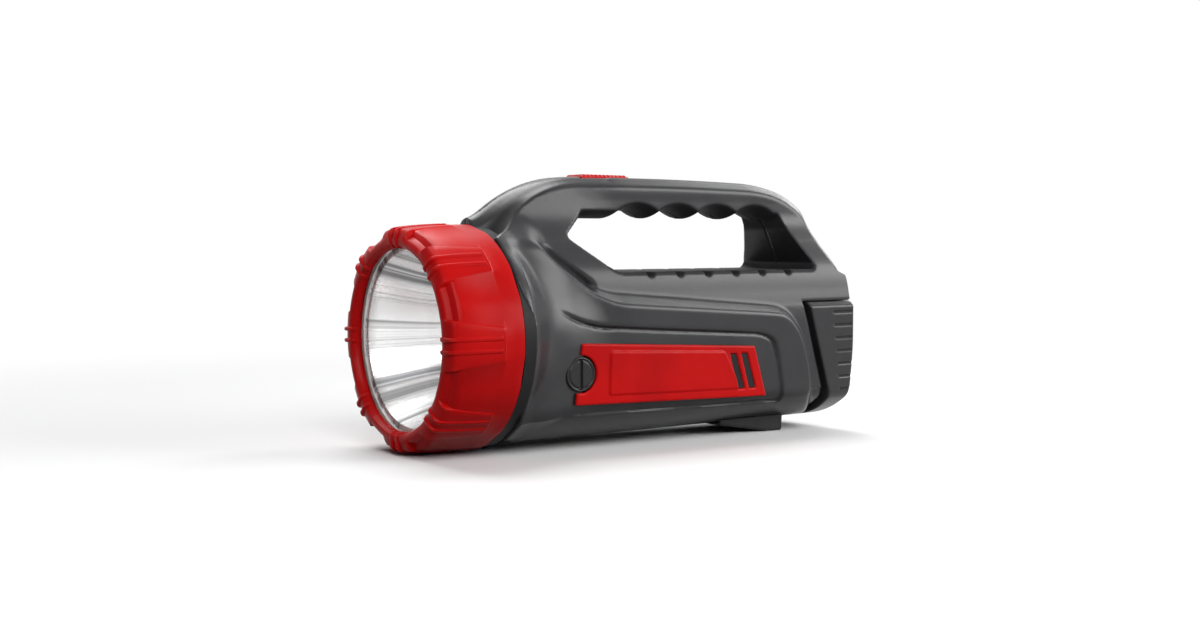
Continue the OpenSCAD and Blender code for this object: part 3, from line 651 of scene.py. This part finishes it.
# %% Housing halves as distances
CHAMFER = 2.8
LEG_LEAN = 0.22
TAIL_R = 43.6
TAIL_HALF = 29.0
BELL_END = 56.0
OVER_COLLAR = 4.6
CREASE = ((22.0, 40.2), (46.8, 20.0))
CREASE_DEPTH = 2.2
RIM_DEPTH = 0.9
SCOOP = (62.8, 2.0, 76.3)
SCOOP_Y = 14.5
SCOOP_R = 8.0
LIP_R = 37.3
LIP_END = 9.2
SLIDE_X = (54.7, 90.1)
SLIDE_HALF = 7.5
SLIDE_FLOOR = HANDLE_TOP - 1.4
STEM_X = (65.5, 79.5)
STEM_HALF = 2.3
JOINT_SCREWS = [(30, 52), (105, 62), (181, 42), (188, 20.5), (128, 18), (46, -36.5), (122, -36.5)]
CAP_SCREWS = [(-24, 2), (24, 2), (-20, -28), (20, -28)]
SCREW_POST_R = 4.6
SCREW_R = 1.6
SCREW_HEAD_R = 3.4
LEADS_Z = 4.0
LEADS_R = 3.0
PANEL = [(36, -2.3), (132.3, -7.6), (139.5, -30.9), (32.6, -28.1)]
PANEL_LEDGE = 2.5
LOCK = (35.4, -15.2)
LOCK_BORE_R = 5.6
HALF_GAP = 0.04
panel_line = outline(PANEL)


def past_scoop(x, z):
    """How far outside the middle line of the nose's hollow a place is, seen from the side."""
    return np.hypot(x - SCOOP[0], z - SCOOP[1]) - SCOOP[2]


def scoop(x, a, z):
    """The hollow on each side of the nose: a ring of round section that runs past the nose."""
    return np.maximum(np.hypot(past_scoop(x, z), a - SCOOP_Y) - SCOOP_R, x - SCOOP[0])


def crease(x, z):
    """1 along the diagonal gouge behind the front leg, fading to 0 beside it and at its upper end."""
    (x1, z1), (x2, z2) = CREASE
    length = math.hypot(x2 - x1, z2 - z1)
    along = ((x - x1) * (x2 - x1) + (z - z1) * (z2 - z1)) / length
    beside = ((x - x1) * (z2 - z1) - (z - z1) * (x2 - x1)) / length
    return np.exp(-(beside / 1.7) ** 2) * ease(0, 9, along) * ease(length + 2, length - 3, along)


def plain_body(x, a, z):
    """The body without its shallow details; a is the distance from the middle plane."""
    r = np.hypot(a, z)
    above = side_line(x, z)
    beside = (a - spine_half(x, z)) * 0.94
    spine = soft_max(above, beside, 1.0)
    bevel = CHAMFER - 20 * ease(26, 16, z)
    spine = soft_max(spine, 0.74 * beside + 0.67 * above + bevel, 1.0)
    spine = np.maximum(spine, -z - 30)
    edge = flank_line(x, z)
    out = a - HALF_FLANK + LEG_LEAN * ease(64, 28, x) * np.maximum(z + 4, 0)
    flank = soft_max(out, (out + 1.25 * edge) / 1.6, 1.0)
    flank = soft_max(flank, r - BODY_R, 2.5)
    tail = soft_max(np.maximum(r - TAIL_R, z - CAP_TOP), a - TAIL_HALF, 3.0)
    tail = np.maximum(tail, x - seam(z))
    bell = np.maximum((r - bell_r(x)) * 0.85, x - BELL_END)
    fade = 1.0 + 8.0 * (1 - ease(16, 36, x))
    whole = soft_min(spine, flank, fade)
    whole = soft_min(whole, tail, 1.0)
    whole = soft_min(whole, bell, 5.0)
    whole = soft_max(whole, -scoop(x, a, z), 1.2 + 5.8 * ease(-6, -1, above))
    return soft_max(whole, -hand_hole(x, a, z), 0.8)


def housing(x, y, z, side):
    """One half of the housing, side -1 for the left and 1 for the right."""
    a = np.abs(y)
    r = np.hypot(a, z)
    plain = plain_body(x, a, z)
    edge = field_line(x, z)
    sunk = ease(0.5, -0.5, edge) * ease(22, 46, x)
    rim = np.exp(-(edge / 0.8) ** 2) * ease(24, 34, x) * ease(-20, -6, z)
    relief = FIELD_DEPTH * sunk + RIM_DEPTH * rim + CREASE_DEPTH * crease(x, z) * ease(12, 16, a)
    shell = plain + relief
    cavity = plain + WALL + 0.8 * relief
    for sx, sz in JOINT_SCREWS:
        cavity = np.maximum(cavity, SCREW_POST_R - np.hypot(x - sx, z - sz))
    shell = np.maximum(shell, -cavity)
    shell = soft_max(shell, COLLAR_X - OVER_COLLAR * ease(4, 26, z) - x, 0.5)
    shell = cut(shell, r - LIP_R, x - LIP_END)
    slide = box(x, y, z, (SLIDE_X[0], -SLIDE_HALF, SLIDE_FLOOR), (SLIDE_X[1], SLIDE_HALF, 80))
    stem = box(x, y, z, (STEM_X[0], -STEM_HALF, 55), (STEM_X[1], STEM_HALF, 80))
    shell = np.maximum(shell, -np.minimum(slide, stem))
    for sx, sz in JOINT_SCREWS:
        around = np.hypot(x - sx, z - sz)
        shell = cut(shell, around - SCREW_R, np.abs(y + 2) - 8.5)
        if side > 0:
            shell = cut(shell, around - SCREW_HEAD_R, 6 - y, 0.5)
    for sy, sz in CAP_SCREWS:
        shell = cut(shell, np.hypot(y - sy, z - sz) - SCREW_R, 155 - x)
    shell = cut(shell, np.hypot(y, z - LEADS_Z) - LEADS_R, 150 - x)
    if side < 0:
        shell = cut(shell, panel_line(x, z) + PANEL_LEDGE, 27 - a)
        shell = cut(shell, np.hypot(x - LOCK[0], z - LOCK[1]) - LOCK_BORE_R, 25 - a)
    return np.maximum(shell, HALF_GAP - side * y)


print("housing formula ready, wall", WALL)

# %% Housing halves as meshes
HOUSING_STEP = 0.8


def painted_groove_shade(x, a, z):
    """1 where shade is painted dark into the skin: in the hand hole, beside the nose and in the grooves."""
    from_hole = np.abs(hand_hole(x, a, z))
    low_or_high = np.maximum(ease(44, 47, z), ease(30, 28, z))
    in_hole = ease(1.0, 0.3, from_hole) * (0.1 + 0.9 * low_or_high)
    floor_edge = ease(1.7, 1.1, from_hole) * ease(24.9, 25.3, z) * ease(30, 28, z)
    in_scoop = ease(1.2, 0.0, np.abs(scoop(x, a, z)))
    in_scoop *= ease(6.8, 10.0, a) * ease(1.5, -1.0, past_scoop(x, z))
    at_cap = ease(-0.6, -0.1, x - seam(z)) * ease(12, 10, z)
    in_crease = 0.95 * crease(x, z) * ease(12, 16, a)
    return np.max([in_hole, floor_edge, in_scoop, at_cap, in_crease], 0)


for side, word in ((-1, "left"), (1, "right")):
    y_low, y_high = sorted((-0.7 * side, 47.0 * side))
    shape = skin(lambda x, y, z: housing(x, y, z, side),
                 (0.3, y_low, -47.1), (201, y_high, 69.3), HOUSING_STEP)
    x, y, z = shape[0].T
    piece("shell_" + word, shape, "housing", ["housing_" + word], "housing_grey",
          inner=painted_groove_shade(x, np.abs(y), z))

# %% [markdown]
# The rear cap is a shallow cup behind a deep slanted groove. It is screwed to the housing from
# behind, carries the charging socket with its flap, and has fine grooves on its flanks to grip.

# %% Rear cap
CAP_HALF = 31.5
CAP_LID = CAP_TOP + FIT - 0.05
SOCKET_Z = -2.0
FLAP_AXIS = (202.3, 7.5)
FLAP_HALF = 8.0
CAP_BEVEL = 2.4
CAP_REAR_LEAN = 0.106
CAP_NECK_OUT = 4.6
CAP_NECK_IN = 6.4
CAP_STEP = 0.7
GRIP_LINES = 7
GRIP_LINE_END = 199.0
GRIP_LINE_DEPTH = 0.4
cap_line = outline(rounded([
    (seam(CAP_TOP) + GROOVE, CAP_LID, 0.6), (BODY_END, CAP_LID, 0.5), (BODY_END, -12, 6),
    (196.5, -45, 2), (195.4, -60), (seam(-60) + GROOVE, -60)]))


def grip_line(i):
    """Front end and height of one of the fine grooves on the cap's flank."""
    return 186 + 0.8 * i, 6.0 - 6.2 * i


def cap_mass(x, a, z, inset):
    """The cap as a full block, or the space inside it at a depth."""
    r = np.hypot(a, z)
    mass = soft_max(r - BODY_R + inset, a - CAP_HALF + inset, 3.0)
    mass = np.maximum(mass, z - CAP_LID + inset)
    mass = soft_max(mass, (a - CAP_HALF + z - CAP_LID + CAP_BEVEL + 2 * inset) * 0.707, 0.4)
    if inset:
        return np.maximum(mass, x - BODY_END + CAP_REAR_LEAN * np.maximum(-12 - z, 0) + inset)
    return soft_max(mass, cap_line(x, z), 0.7)


def rear_cap(x, y, z):
    """The hollow cap with the neck that crosses the groove, its screw posts and its holes."""
    a = np.abs(y)
    cap = cap_mass(x, a, z, 0)
    for i in range(GRIP_LINES):
        front, height = grip_line(i)
        line = box(x, a, z, (front, CAP_HALF - GRIP_LINE_DEPTH, height - 0.5),
                   (GRIP_LINE_END, 35, height + 0.5))
        cap = soft_max(cap, -line, 0.3)
    neck = np.maximum(cap_mass(x, a, z, CAP_NECK_OUT), np.abs(x - seam(z) - 4.1) - 4)
    cap = np.minimum(cap, neck)
    in_neck = np.minimum(seam(z) + 8.1 - x, cap_mass(x, a, z, CAP_NECK_IN))
    cavity = np.maximum(cap_mass(x, a, z, WALL), in_neck)
    cavity = cut(cavity, np.abs(x - seam(z) - 7) - 1.2, cap_mass(x, a, z, 1))
    posts = np.full(np.broadcast(x, y, z).shape, 99.0)
    for sy, sz in CAP_SCREWS:
        posts = np.minimum(posts, np.hypot(y - sy, z - sz) - 5)
    for sy in (-11, 11):
        posts = np.minimum(posts, np.maximum(np.hypot(y - sy, z - SOCKET_Z + 19) - 2.4, 183.6 - x))
    cavity = cut(cavity, posts, seam(z) + 0.1 - x)
    cap = np.maximum(cap, -cavity)
    cap = np.maximum(cap, seam(z) + 0.1 - x)
    flap_x, flap_z = FLAP_AXIS
    ears = box(x, a, z, (198, FLAP_HALF + 0.6, flap_z - 1.6), (203.9, FLAP_HALF + 3, flap_z + 1.6))
    cap = soft_min(cap, ears, 0.5)
    for sy, sz in CAP_SCREWS:
        around = np.hypot(y - sy, z - sz)
        cap = np.maximum(cap, -(around - 1.7))
        cap = cut(cap, around - SCREW_HEAD_R, 185 - x, 0.5)
    cap = cut(cap, np.hypot(y, z - SOCKET_Z) - 4.3, 192 - x, 0.4)
    for sy in (-13, 13):
        cap = cut(cap, np.hypot(y - sy, z - SOCKET_Z + 4) - 1.6, 192 - x)
    return np.maximum(cap, -(np.hypot(x - flap_x, z - flap_z) - 0.9))


shape = skin(rear_cap, (166, -33.3, -47.1), (204.6, 33.3, 12.3), CAP_STEP)
x, y, z = shape[0].T
# painted shade: the faces inside the slanted groove and the fine grip grooves get a dark mesh value
inner = ease(1.0, 0.2, x - seam(z) - GROOVE + 0.6)
for i in range(GRIP_LINES):
    front, height = grip_line(i)
    in_line = ease(0.75, 0.5, np.abs(z - height)) * ease(30.0, 30.6, np.abs(y))
    in_line *= ease(front - 0.4, front + 0.2, x) * ease(GRIP_LINE_END + 0.4, GRIP_LINE_END - 0.2, x)
    inner = np.maximum(inner, in_line)
piece("cap_shell", shape, "housing", ["rear_cap"], "housing_grey", coat="cap_grey", inner=inner)

# %% [markdown]
# The head ring is turned plastic with eight plates. It tapers towards the front, its front corner
# is set back between the plates, and each plate has two thin ribs that run over the lip. A height
# map would blur these edges, so the mesh is a grid whose columns follow the plate edges and the
# ribs exactly. Each row has three profiles, plain ring, plate and rib, and a column takes one of
# them or a share between two for the bevel.

# %% Head ring profiles
PLATES = 8
PLATE_REAR = -9.0
RIB_Y = 2.45
BETWEEN_PLATES = 17.6
PLAIN = flowing([-28.4, -26, -12, -4, 0], [45.2, 45.6, 46.5, 46.95, 47.1])
PLATE = flowing([-32, -28, -20, -9], [45.2, 45.8, 46.5, 47.0])
RIB = flowing([-33, -28, -20, -10.5], [45.5, 46.2, 46.9, 47.4])


def plate_half(x):
    """Half the width of a plate, wider towards the front."""
    return 6.5 + 4.0 * (PLATE_REAR - x) / 27


ring_rows = [((0, 46.6),) * 3, ((-0.35, 47.0),) * 3, ((-4, PLAIN(-4)),) * 3, ((-8.5, PLAIN(-8.5)),) * 3]
ring_rows.append(((-8.8, PLAIN(-8.8)), (-8.8, PLAIN(-8.8) + 0.1), (-8.8, PLAIN(-8.8) + 0.1)))
for x in (-9.1, -10.1):
    ring_rows.append(((x, PLAIN(x)), (x, PLATE(x)), (x, PLATE(x))))
for x in (-10.4, -10.8, -14, -17, -20, -23, -26, -28.2):
    ring_rows.append(((x, PLAIN(x)), (x, PLATE(x)), (x, RIB(x))))
ring_rows += [
    ((-28.6, 44.9), (-29.2, PLATE(-29.2)), (-29.6, RIB(-29.6))),
    ((-29.6, 43.5), (-30.8, 45.3), (-31.2, RIB(-31.2))),
    ((-29.9, 43.0), (-31.6, 44.8), (-32.6, 45.2)),
    ((-30.5, 42.8), (-32.2, 43.9), (-33.4, 44.3)),
    ((-32.0, 42.2), (-32.6, 43.0), (-33.8, 43.4)),
    ((-32.9, 41.3), (-33.0, 41.8), (-33.8, 42.0)),
    ((-33.2, 40.3), (-33.2, 40.7), (-33.8, 40.8)),
    ((-33.2, 39.3), (-33.2, 39.5), (-33.8, 39.6)),
    ((-32.9, 38.6), (-32.95, 38.8), (-33.7, 38.7)),
    ((-31.8, 37.9), (-31.8, 37.95), (-32.6, 37.6)),
    ((-30.6, 37.3), (-30.6, 37.3), (-30.8, 37.2)),
    ((-29.7, 37.3),) * 3, ((-29.7, 42.0),) * 3, ((0, 42.0),) * 3]
print("head ring of", len(ring_rows), "rows")

# %% Head ring mesh
# share of plate and rib at each column, from the middle of a plate outwards
across_rib = [(-1.0, 0), (-0.73, 0.75), (-0.47, 1), (0.47, 1), (0.73, 0.75), (1.0, 0)]
middle_columns = [(0, 1, 0)] + [(RIB_Y + off, 1, rib) for off, rib in across_rib]
edge_columns = [(-0.35, 1, 0), (-0.05, 0.7, 0), (0.25, 0, 0)]


def ring_column(sector, y, plate, rib):
    """One column of points round the section, y millimetres to the side of a plate's middle."""
    column = []
    for plain_at, plate_at, rib_at in ring_rows:
        x, r = np.array(plain_at) * (1 - plate) + np.array(plate_at) * plate
        x, r = np.array((x, r)) + rib * (np.array(rib_at) - np.array(plate_at))
        away = y(x) if callable(y) else y
        angle = 2 * math.pi * sector / PLATES + math.asin(away / r)
        column.append((x, r * math.sin(angle), r * math.cos(angle)))
    return column


def ring_faces(columns, rows):
    """Quads between neighbouring columns, where both columns and rows close on themselves."""
    quads = []
    for c in range(columns):
        d = (c + 1) % columns
        for i in range(rows):
            j = (i + 1) % rows
            quads.append((c * rows + i, c * rows + j, d * rows + j, d * rows + i))
    return quads


half_sector = list(middle_columns)
half_sector.append((lambda x: (plate_half(x) + RIB_Y + 1) / 2, 1, 0))
for offset, p, q in edge_columns:
    half_sector.append((lambda x, o=offset: plate_half(x) + o, p, q))
columns = []
for sector in range(PLATES):
    for y, p, q in reversed(half_sector[1:]):
        mirrored = (lambda x, f=y: -f(x)) if callable(y) else -y
        columns.append(ring_column(sector, mirrored, p, q))
    for y, p, q in half_sector:
        columns.append(ring_column(sector, y, p, q))
    for share in (0.3, 0.65, 1.0):
        step_y = (lambda x, s=share: 0.25 + plate_half(x) + s * (BETWEEN_PLATES - plate_half(x)))
        columns.append(ring_column(sector, step_y, 0, 0))
points = [p for column in columns for p in column]
faces = [face[::-1] for face in ring_faces(len(columns), len(ring_rows))]
piece("head_bezel", (points, faces), "bezel_ring", ["bezel"], "trim_red", sharp=32)

# %% [markdown]
# Bowl and lens are turned shapes. The bowl is a parabola from the emitter's neck to its mouth, with
# a flange that the lens clamps; the lens has a faint crown, as such mouldings do, so that
# its highlight is curved.

# %% Reflector and lens
MOUTH_R = 36.2
GLASS_R = 41.2
NECK = (18.4, 7.0)
FLANGE = (-25.6, -24.0)
LENS = (-29.4, -26.4)
BOWL_T = 1.2
BOWL_K = (MOUTH_R ** 2 - NECK[1] ** 2) / (NECK[0] - FLANGE[0])


def turned(section, sides=160):
    """Points and faces of a closed (x, r) section turned about the lamp's axis."""
    ring_points = []
    for s in range(sides):
        angle = 2 * math.pi * s / sides
        ring_points += [(x, r * math.sin(angle), r * math.cos(angle)) for x, r in section]
    return ring_points, ring_faces(sides, len(section))


def bowl_r(x):
    return math.sqrt(NECK[1] ** 2 + BOWL_K * (NECK[0] - x))


stations = np.linspace(FLANGE[0], NECK[0], 40)
section = [(x, bowl_r(x)) for x in stations]
section += [(x, bowl_r(x) + BOWL_T) for x in stations[:1:-1]]
section += [(FLANGE[1], bowl_r(FLANGE[1]) + BOWL_T)]
section += [(FLANGE[1], GLASS_R - 0.2), (FLANGE[0], GLASS_R - 0.2)]
piece("bowl", turned(section[::-1]), "housing", ["reflector"], "reflector_chrome", sharp=40)

crown = [(LENS[0] + 0.9 * (r / GLASS_R) ** 2, r) for r in np.linspace(0.05, GLASS_R - 0.4, 14)]
rim = [(LENS[0] + 1.4, GLASS_R), (LENS[1] - 0.3, GLASS_R), (LENS[1], GLASS_R - 0.4)]
section = crown + rim + [(LENS[1], 0.05)]
piece("window", turned(section, 128), "housing", ["lens"], "clear_lens", sharp=40)

# %% [markdown]
# The red cover over the battery bay is a flat plate with a raised middle, two slots, and a rounded bite where the
# coin lock sits; a black bar at the bottom of each slot is painted shade, so that the slots show black. Its skirt
# drops into the opening. The right side of the lamp has the same plate as a fixed trim, without the bite.

# %% Side cover and trim
SEAT = HALF_FLANK - FIELD_DEPTH
SEAL = 0.6
PANEL_T = 1.6
PANEL_RAISE = 0.6
PANEL_RAISED = [(50.3, -6.2, 1.5), (114.1, -9.2, 1.5), (124.1, -26.6, 1.5), (49.6, -24.8, 1.5)]
SLOTS = [[(x, -10.4), (x + 3.8, -10.6), (x + 9, -26.7), (x + 5, -26.8)] for x in (117.4, 124)]
LOCK_R = 7.3
KEEPER = (43.3, 50.3)
plate_line = outline(rounded([corner + (0.8,) for corner in PANEL]))
raised_line = outline(rounded(PANEL_RAISED))
slot_lines = [outline(slot) for slot in SLOTS]
TRIM_PINS = [(46, -12), (46, -20), (124, -14), (128, -22)]
PANEL_STEP = 0.55


def panel_plate(x, a, z, seat):
    """The plate that cover and trim share, with its raised middle and two slots."""
    plate = soft_max(plate_line(x, z), np.maximum(seat - a, a - seat - PANEL_T), 0.7)
    raised = soft_max(raised_line(x, z), np.maximum(seat - a, a - seat - PANEL_T - PANEL_RAISE), 0.9)
    plate = soft_min(plate, raised, 0.3)
    for line in slot_lines:
        plate = cut(plate, line(x, z), seat + PANEL_T - 0.9 - a, 0.3)
    return plate


def side_cover(x, y, z):
    seat = SEAT + SEAL
    cover = panel_plate(x, -y, z, seat)
    lip = panel_line(x, z)
    skirt = np.maximum(np.maximum(lip + PANEL_LEDGE + 0.3, -lip - PANEL_LEDGE - 1.9),
                       np.maximum(-y - seat - 0.5, y + 31.7))
    keeper = box(x, y, z, (KEEPER[0], -seat - 0.5, LOCK[1] - 4), (KEEPER[1], -27.4, LOCK[1] + 4))
    cover = np.minimum(cover, np.minimum(skirt, keeper))
    cover = soft_max(cover, LOCK_R + 0.6 - np.hypot(x - LOCK[0], z - LOCK[1]), 0.5)
    slot = box(x, y, z, (KEEPER[0] - 1, -31.2, LOCK[1] - 5), (KEEPER[0] + 4, -29, LOCK[1] + 5))
    return np.maximum(cover, -slot)


def side_trim(x, y, z):
    trim = panel_plate(x, y, z, SEAT)
    for px, pz in TRIM_PINS:
        trim = np.minimum(trim, np.maximum(np.hypot(x - px, z - pz) - 1.5, np.abs(y - SEAT + 1) - 2))
    return trim


shape = skin(side_cover, (31.5, -36.1, -32), (140.5, -27, -1.4), PANEL_STEP)
piece("battery_cover", shape, "cover", ["side_cover"], "trim_red")
shape = skin(side_trim, (31.5, 29.3, -32), (140.5, 35.6, -1.4), PANEL_STEP)
piece("trim_panel", shape, "housing", ["side_trim"], "trim_red")


def slot_shade_bar(corners, y_in, y_out):
    """A black bar in a slot, a little below the plate's face: painted shade at the slot's bottom."""
    inner = np.array(corners) - (np.array(corners) - np.mean(corners, 0)) * 0.04
    bar = [(x, y_in, z) for x, z in inner] + [(x, y_out, z) for x, z in inner]
    sides = [(i + 4, (i + 1) % 4 + 4, (i + 1) % 4, i) for i in range(4)]
    return bar, sides + [(0, 1, 2, 3), (7, 6, 5, 4)]


# painted shade: a black bar at the bottom of each slot
for i, slot in enumerate(SLOTS):
    bottom = SEAT + SEAL + PANEL_T - 0.95
    bar = slot_shade_bar(slot, -bottom, -bottom - 0.45)
    piece("cover_slot_shade_%d" % i, bar, "cover", [], "collar_black", coat="slot_shade_black", sharp=30)
    bottom = SEAT + PANEL_T - 0.95
    bar = slot_shade_bar(slot, bottom + 0.45, bottom)
    piece("trim_slot_shade_%d" % i, bar, "housing", [], "collar_black", coat="slot_shade_black", sharp=30)

# %% [markdown]
# The coin lock is a small disc with a groove round its face and a slot for a coin. A turned shape
# would give all but the slot, so the mesher makes it, with a finer grid.

# %% Coin lock
LOCK_FACE = SEAT + 2.0
LOCK_STEP = 0.32


def coin_lock(x, y, z):
    around = np.hypot(x - LOCK[0], z - LOCK[1])
    head = soft_max(around - LOCK_R, np.maximum(SEAT + 0.1 + y, -y - LOCK_FACE), 0.7)
    groove = np.hypot(around - 6.0, -y - LOCK_FACE) - 0.45
    head = np.maximum(head, -groove)
    slot = np.maximum(np.abs(x - LOCK[0]) - 0.75, np.abs(z - LOCK[1]) - 6.2)
    slot = np.maximum(slot, y + LOCK_FACE - 1.1)
    head = soft_max(head, -slot, 0.3)
    neck = np.maximum(around - 5.5, np.maximum(30.9 + y, -y - SEAT - 0.6))
    return np.minimum(head, neck)


shape = skin(coin_lock, (27.6, -35.3, -23), (43.2, -30.4, -7.4), LOCK_STEP)
piece("lock_disc", shape, "lock", ["coin_lock"], "housing_grey", coat="lock_grey")

# %% [markdown]
# The thumb slide is a flat pad on the handle with a row of round ribs to grip. Its stem passes the
# handle's slot and carries a plate that keeps it from lifting out.

# %% Thumb slide
SLIDE = (55.2, 81.6)
SLIDE_RIBS = 11
SLIDE_STEP = 0.36


def thumb_slide(x, y, z):
    top = HANDLE_TOP + 0.4
    pad = soft_max(box(x, y, z, (SLIDE[0], -7, SLIDE_FLOOR + 0.1), (SLIDE[1], 7, 90)), z - top, 0.8)
    for i in range(SLIDE_RIBS):
        at = SLIDE[0] + (i + 1) * (SLIDE[1] - SLIDE[0]) / (SLIDE_RIBS + 1)
        rib = soft_max(np.hypot(x - at, z - top) - 0.85, np.abs(y) - 6.3, 0.6)
        pad = soft_min(pad, rib, 0.5)
    stem = box(x, y, z, (66, -1.8, HANDLE_TOP - 4.4), (71, 1.8, SLIDE_FLOOR + 1))
    foot_plate = box(x, y, z, (62, -5, HANDLE_TOP - 4.6), (75, 5, HANDLE_TOP - 3))
    return np.minimum(np.minimum(pad, stem), foot_plate)


shape = skin(thumb_slide, (54.6, -7.7, 62.9), (82.3, 7.7, 70), SLIDE_STEP)
piece("slide_pad", shape, "thumb_slide", ["switch_slider"], "trim_red")

# %% [markdown]
# The foot is a rubber wedge, held by two pegs under the body. Its sole lies flat on the floor while
# the lamp leans, so the sole's height changes along the lamp's axis.

# %% Foot
SOLE = 51.0
SOLE_X = 162.75
FOOT_STEP = 0.5


def sole(x):
    """Height of the floor under the leaning lamp."""
    return -SOLE - (x - SOLE_X) * math.tan(LEAN)


foot_line = outline(rounded([
    (128, -38), (128, -45.8, 0), (158, sole(158), 3), (167.5, sole(167.5), 1), (168.5, -38)]))


def foot(x, y, z):
    pad = soft_max(foot_line(x, z), np.abs(y) - 16, 1.2)
    pad = np.maximum(pad, BODY_R + 0.06 - np.hypot(y, z))
    for px in (140, 158):
        pad = np.minimum(pad, np.maximum(np.hypot(x - px, y) - 2.1, np.abs(z + 44.2) - 3.2))
    return pad


shape = skin(foot, (127.3, -16.8, -51.8), (169.3, 16.8, -37.4), FOOT_STEP)
piece("rubber_foot", shape, "housing", ["foot"], "soft_rubber")

# %% [markdown]
# The lamp stands on a plain pale floor that turns to plain white a little way off, so no horizon
# shows. To the camera, in metal and in glass the surroundings are white; the light that they throw
# on the lamp stays dim, so the softboxes model its shape. A dark satin moulding is seen mostly by
# what it mirrors: each box is placed where one set of faces mirrors it to the camera. The broad box
# at the rear on the left lights what leans back, the tall one straight behind lights the shelf and
# the bell, and the one at the front lights the head. The sun stands on the far side and draws the
# shadow towards the camera.

# %% Floor and world
FLOOR_HALF = 4.0
FLOOR_NEAR = 0.24
FLOOR_FAR = 0.60


def seen_directly(wire):
    """1 for rays from the camera, from a mirror or through glass, else 0."""
    camera_ray = wire.node("LightPath", output="Is Camera Ray")
    glossy_ray = wire.node("LightPath", output="Is Glossy Ray")
    glass_ray = wire.node("LightPath", output="Is Transmission Ray")
    return wire.math("MAXIMUM", wire.math("MAXIMUM", camera_ray, glossy_ray), glass_ray)


floor_material = bpy.data.materials.new("floor")
floor_material.use_nodes = True
floor_tree = floor_material.node_tree
floor_tree.nodes.clear()
pen = Wire(floor_tree)
place = pen.node("TexCoord", output="Object")
speck = place.noise(6.0, 3.0)
pale = speck.blend((0.80, 0.80, 0.80, 1), (0.82, 0.82, 0.82, 1))
dim = speck.blend((0.20, 0.20, 0.20, 1), (0.22, 0.22, 0.22, 1))
off = pen.node("VectorMath", {"operation": "LENGTH"}, {0: place}, "Value")
lit = pen.node("BsdfDiffuse", {}, {"Color": pale})
glow = pen.node("Emission", {}, {"Color": (1, 1, 1, 1), "Strength": 1.0})
shown = pen.node("MixShader", {}, {0: off.ramp(FLOOR_NEAR, FLOOR_FAR), 1: lit, 2: glow})
below = pen.node("BsdfDiffuse", {}, {"Color": dim})
mixed = pen.node("MixShader", {}, {0: seen_directly(pen), 1: below, 2: shown})
output = floor_tree.nodes.new("ShaderNodeOutputMaterial")
floor_tree.links.new(mixed.socket, output.inputs["Surface"])

floor_mesh = bpy.data.meshes.new("floor")
h = FLOOR_HALF
floor_mesh.from_pydata([(-h, -h, 0), (h, -h, 0), (h, h, 0), (-h, h, 0)], [], [(0, 1, 2, 3)])
floor_mesh.materials.append(floor_material)
floor = bpy.data.objects.new("floor", floor_mesh)
scene.collection.objects.link(floor)

world = bpy.data.worlds.new("studio")
scene.world = world
world.use_nodes = True
sky = Wire(world.node_tree)
white = sky.node("Background", {}, {"Color": (1, 1, 1, 1), "Strength": 1.0})
fill = sky.node("Background", {}, {"Color": (0.9, 0.93, 1.0, 1), "Strength": 0.06})
around = sky.node("MixShader", {}, {0: seen_directly(sky), 1: fill, 2: white})
world.node_tree.links.new(around.socket, world.node_tree.nodes["World Output"].inputs["Surface"])
print("floor", 2 * FLOOR_HALF, "m wide")

# %% Lights
LAMP_MIDDLE = Vector((0.0, 0.0, 0.06))


def hang(light, bearing, height, away):
    """Puts a light at a bearing and a height in degrees, some metres away, facing the lamp."""
    turn = math.radians(bearing)
    rise = math.radians(height)
    out = Vector((math.cos(rise) * math.cos(turn), math.cos(rise) * math.sin(turn), math.sin(rise)))
    light.location = LAMP_MIDDLE + out * away
    light.rotation_euler = (-out).to_track_quat("-Z", "Y").to_euler()
    scene.collection.objects.link(light)


def softbox(name, size, energy, bearing, height, away):
    data = bpy.data.lights.new(name, "AREA")
    data.shape = "RECTANGLE"
    data.size, data.size_y = size
    data.energy = energy
    hang(bpy.data.objects.new(name, data), bearing, height, away)


sun_data = bpy.data.lights.new("sun", "SUN")
sun_data.energy = 2.6
sun_data.angle = math.radians(40)
hang(bpy.data.objects.new("sun", sun_data), bearing=79, height=59, away=2.0)
softbox("broad_box", (0.80, 0.42), energy=9.0, bearing=-42, height=21, away=1.0)
softbox("tall_box", (0.30, 0.60), energy=2.8, bearing=14, height=34, away=1.0)
softbox("head_box", (0.40, 0.40), energy=3.0, bearing=-122, height=32, away=0.8)
scene.view_settings.view_transform = "Standard"
print("stage lit by", len(bpy.data.lights), "lights")
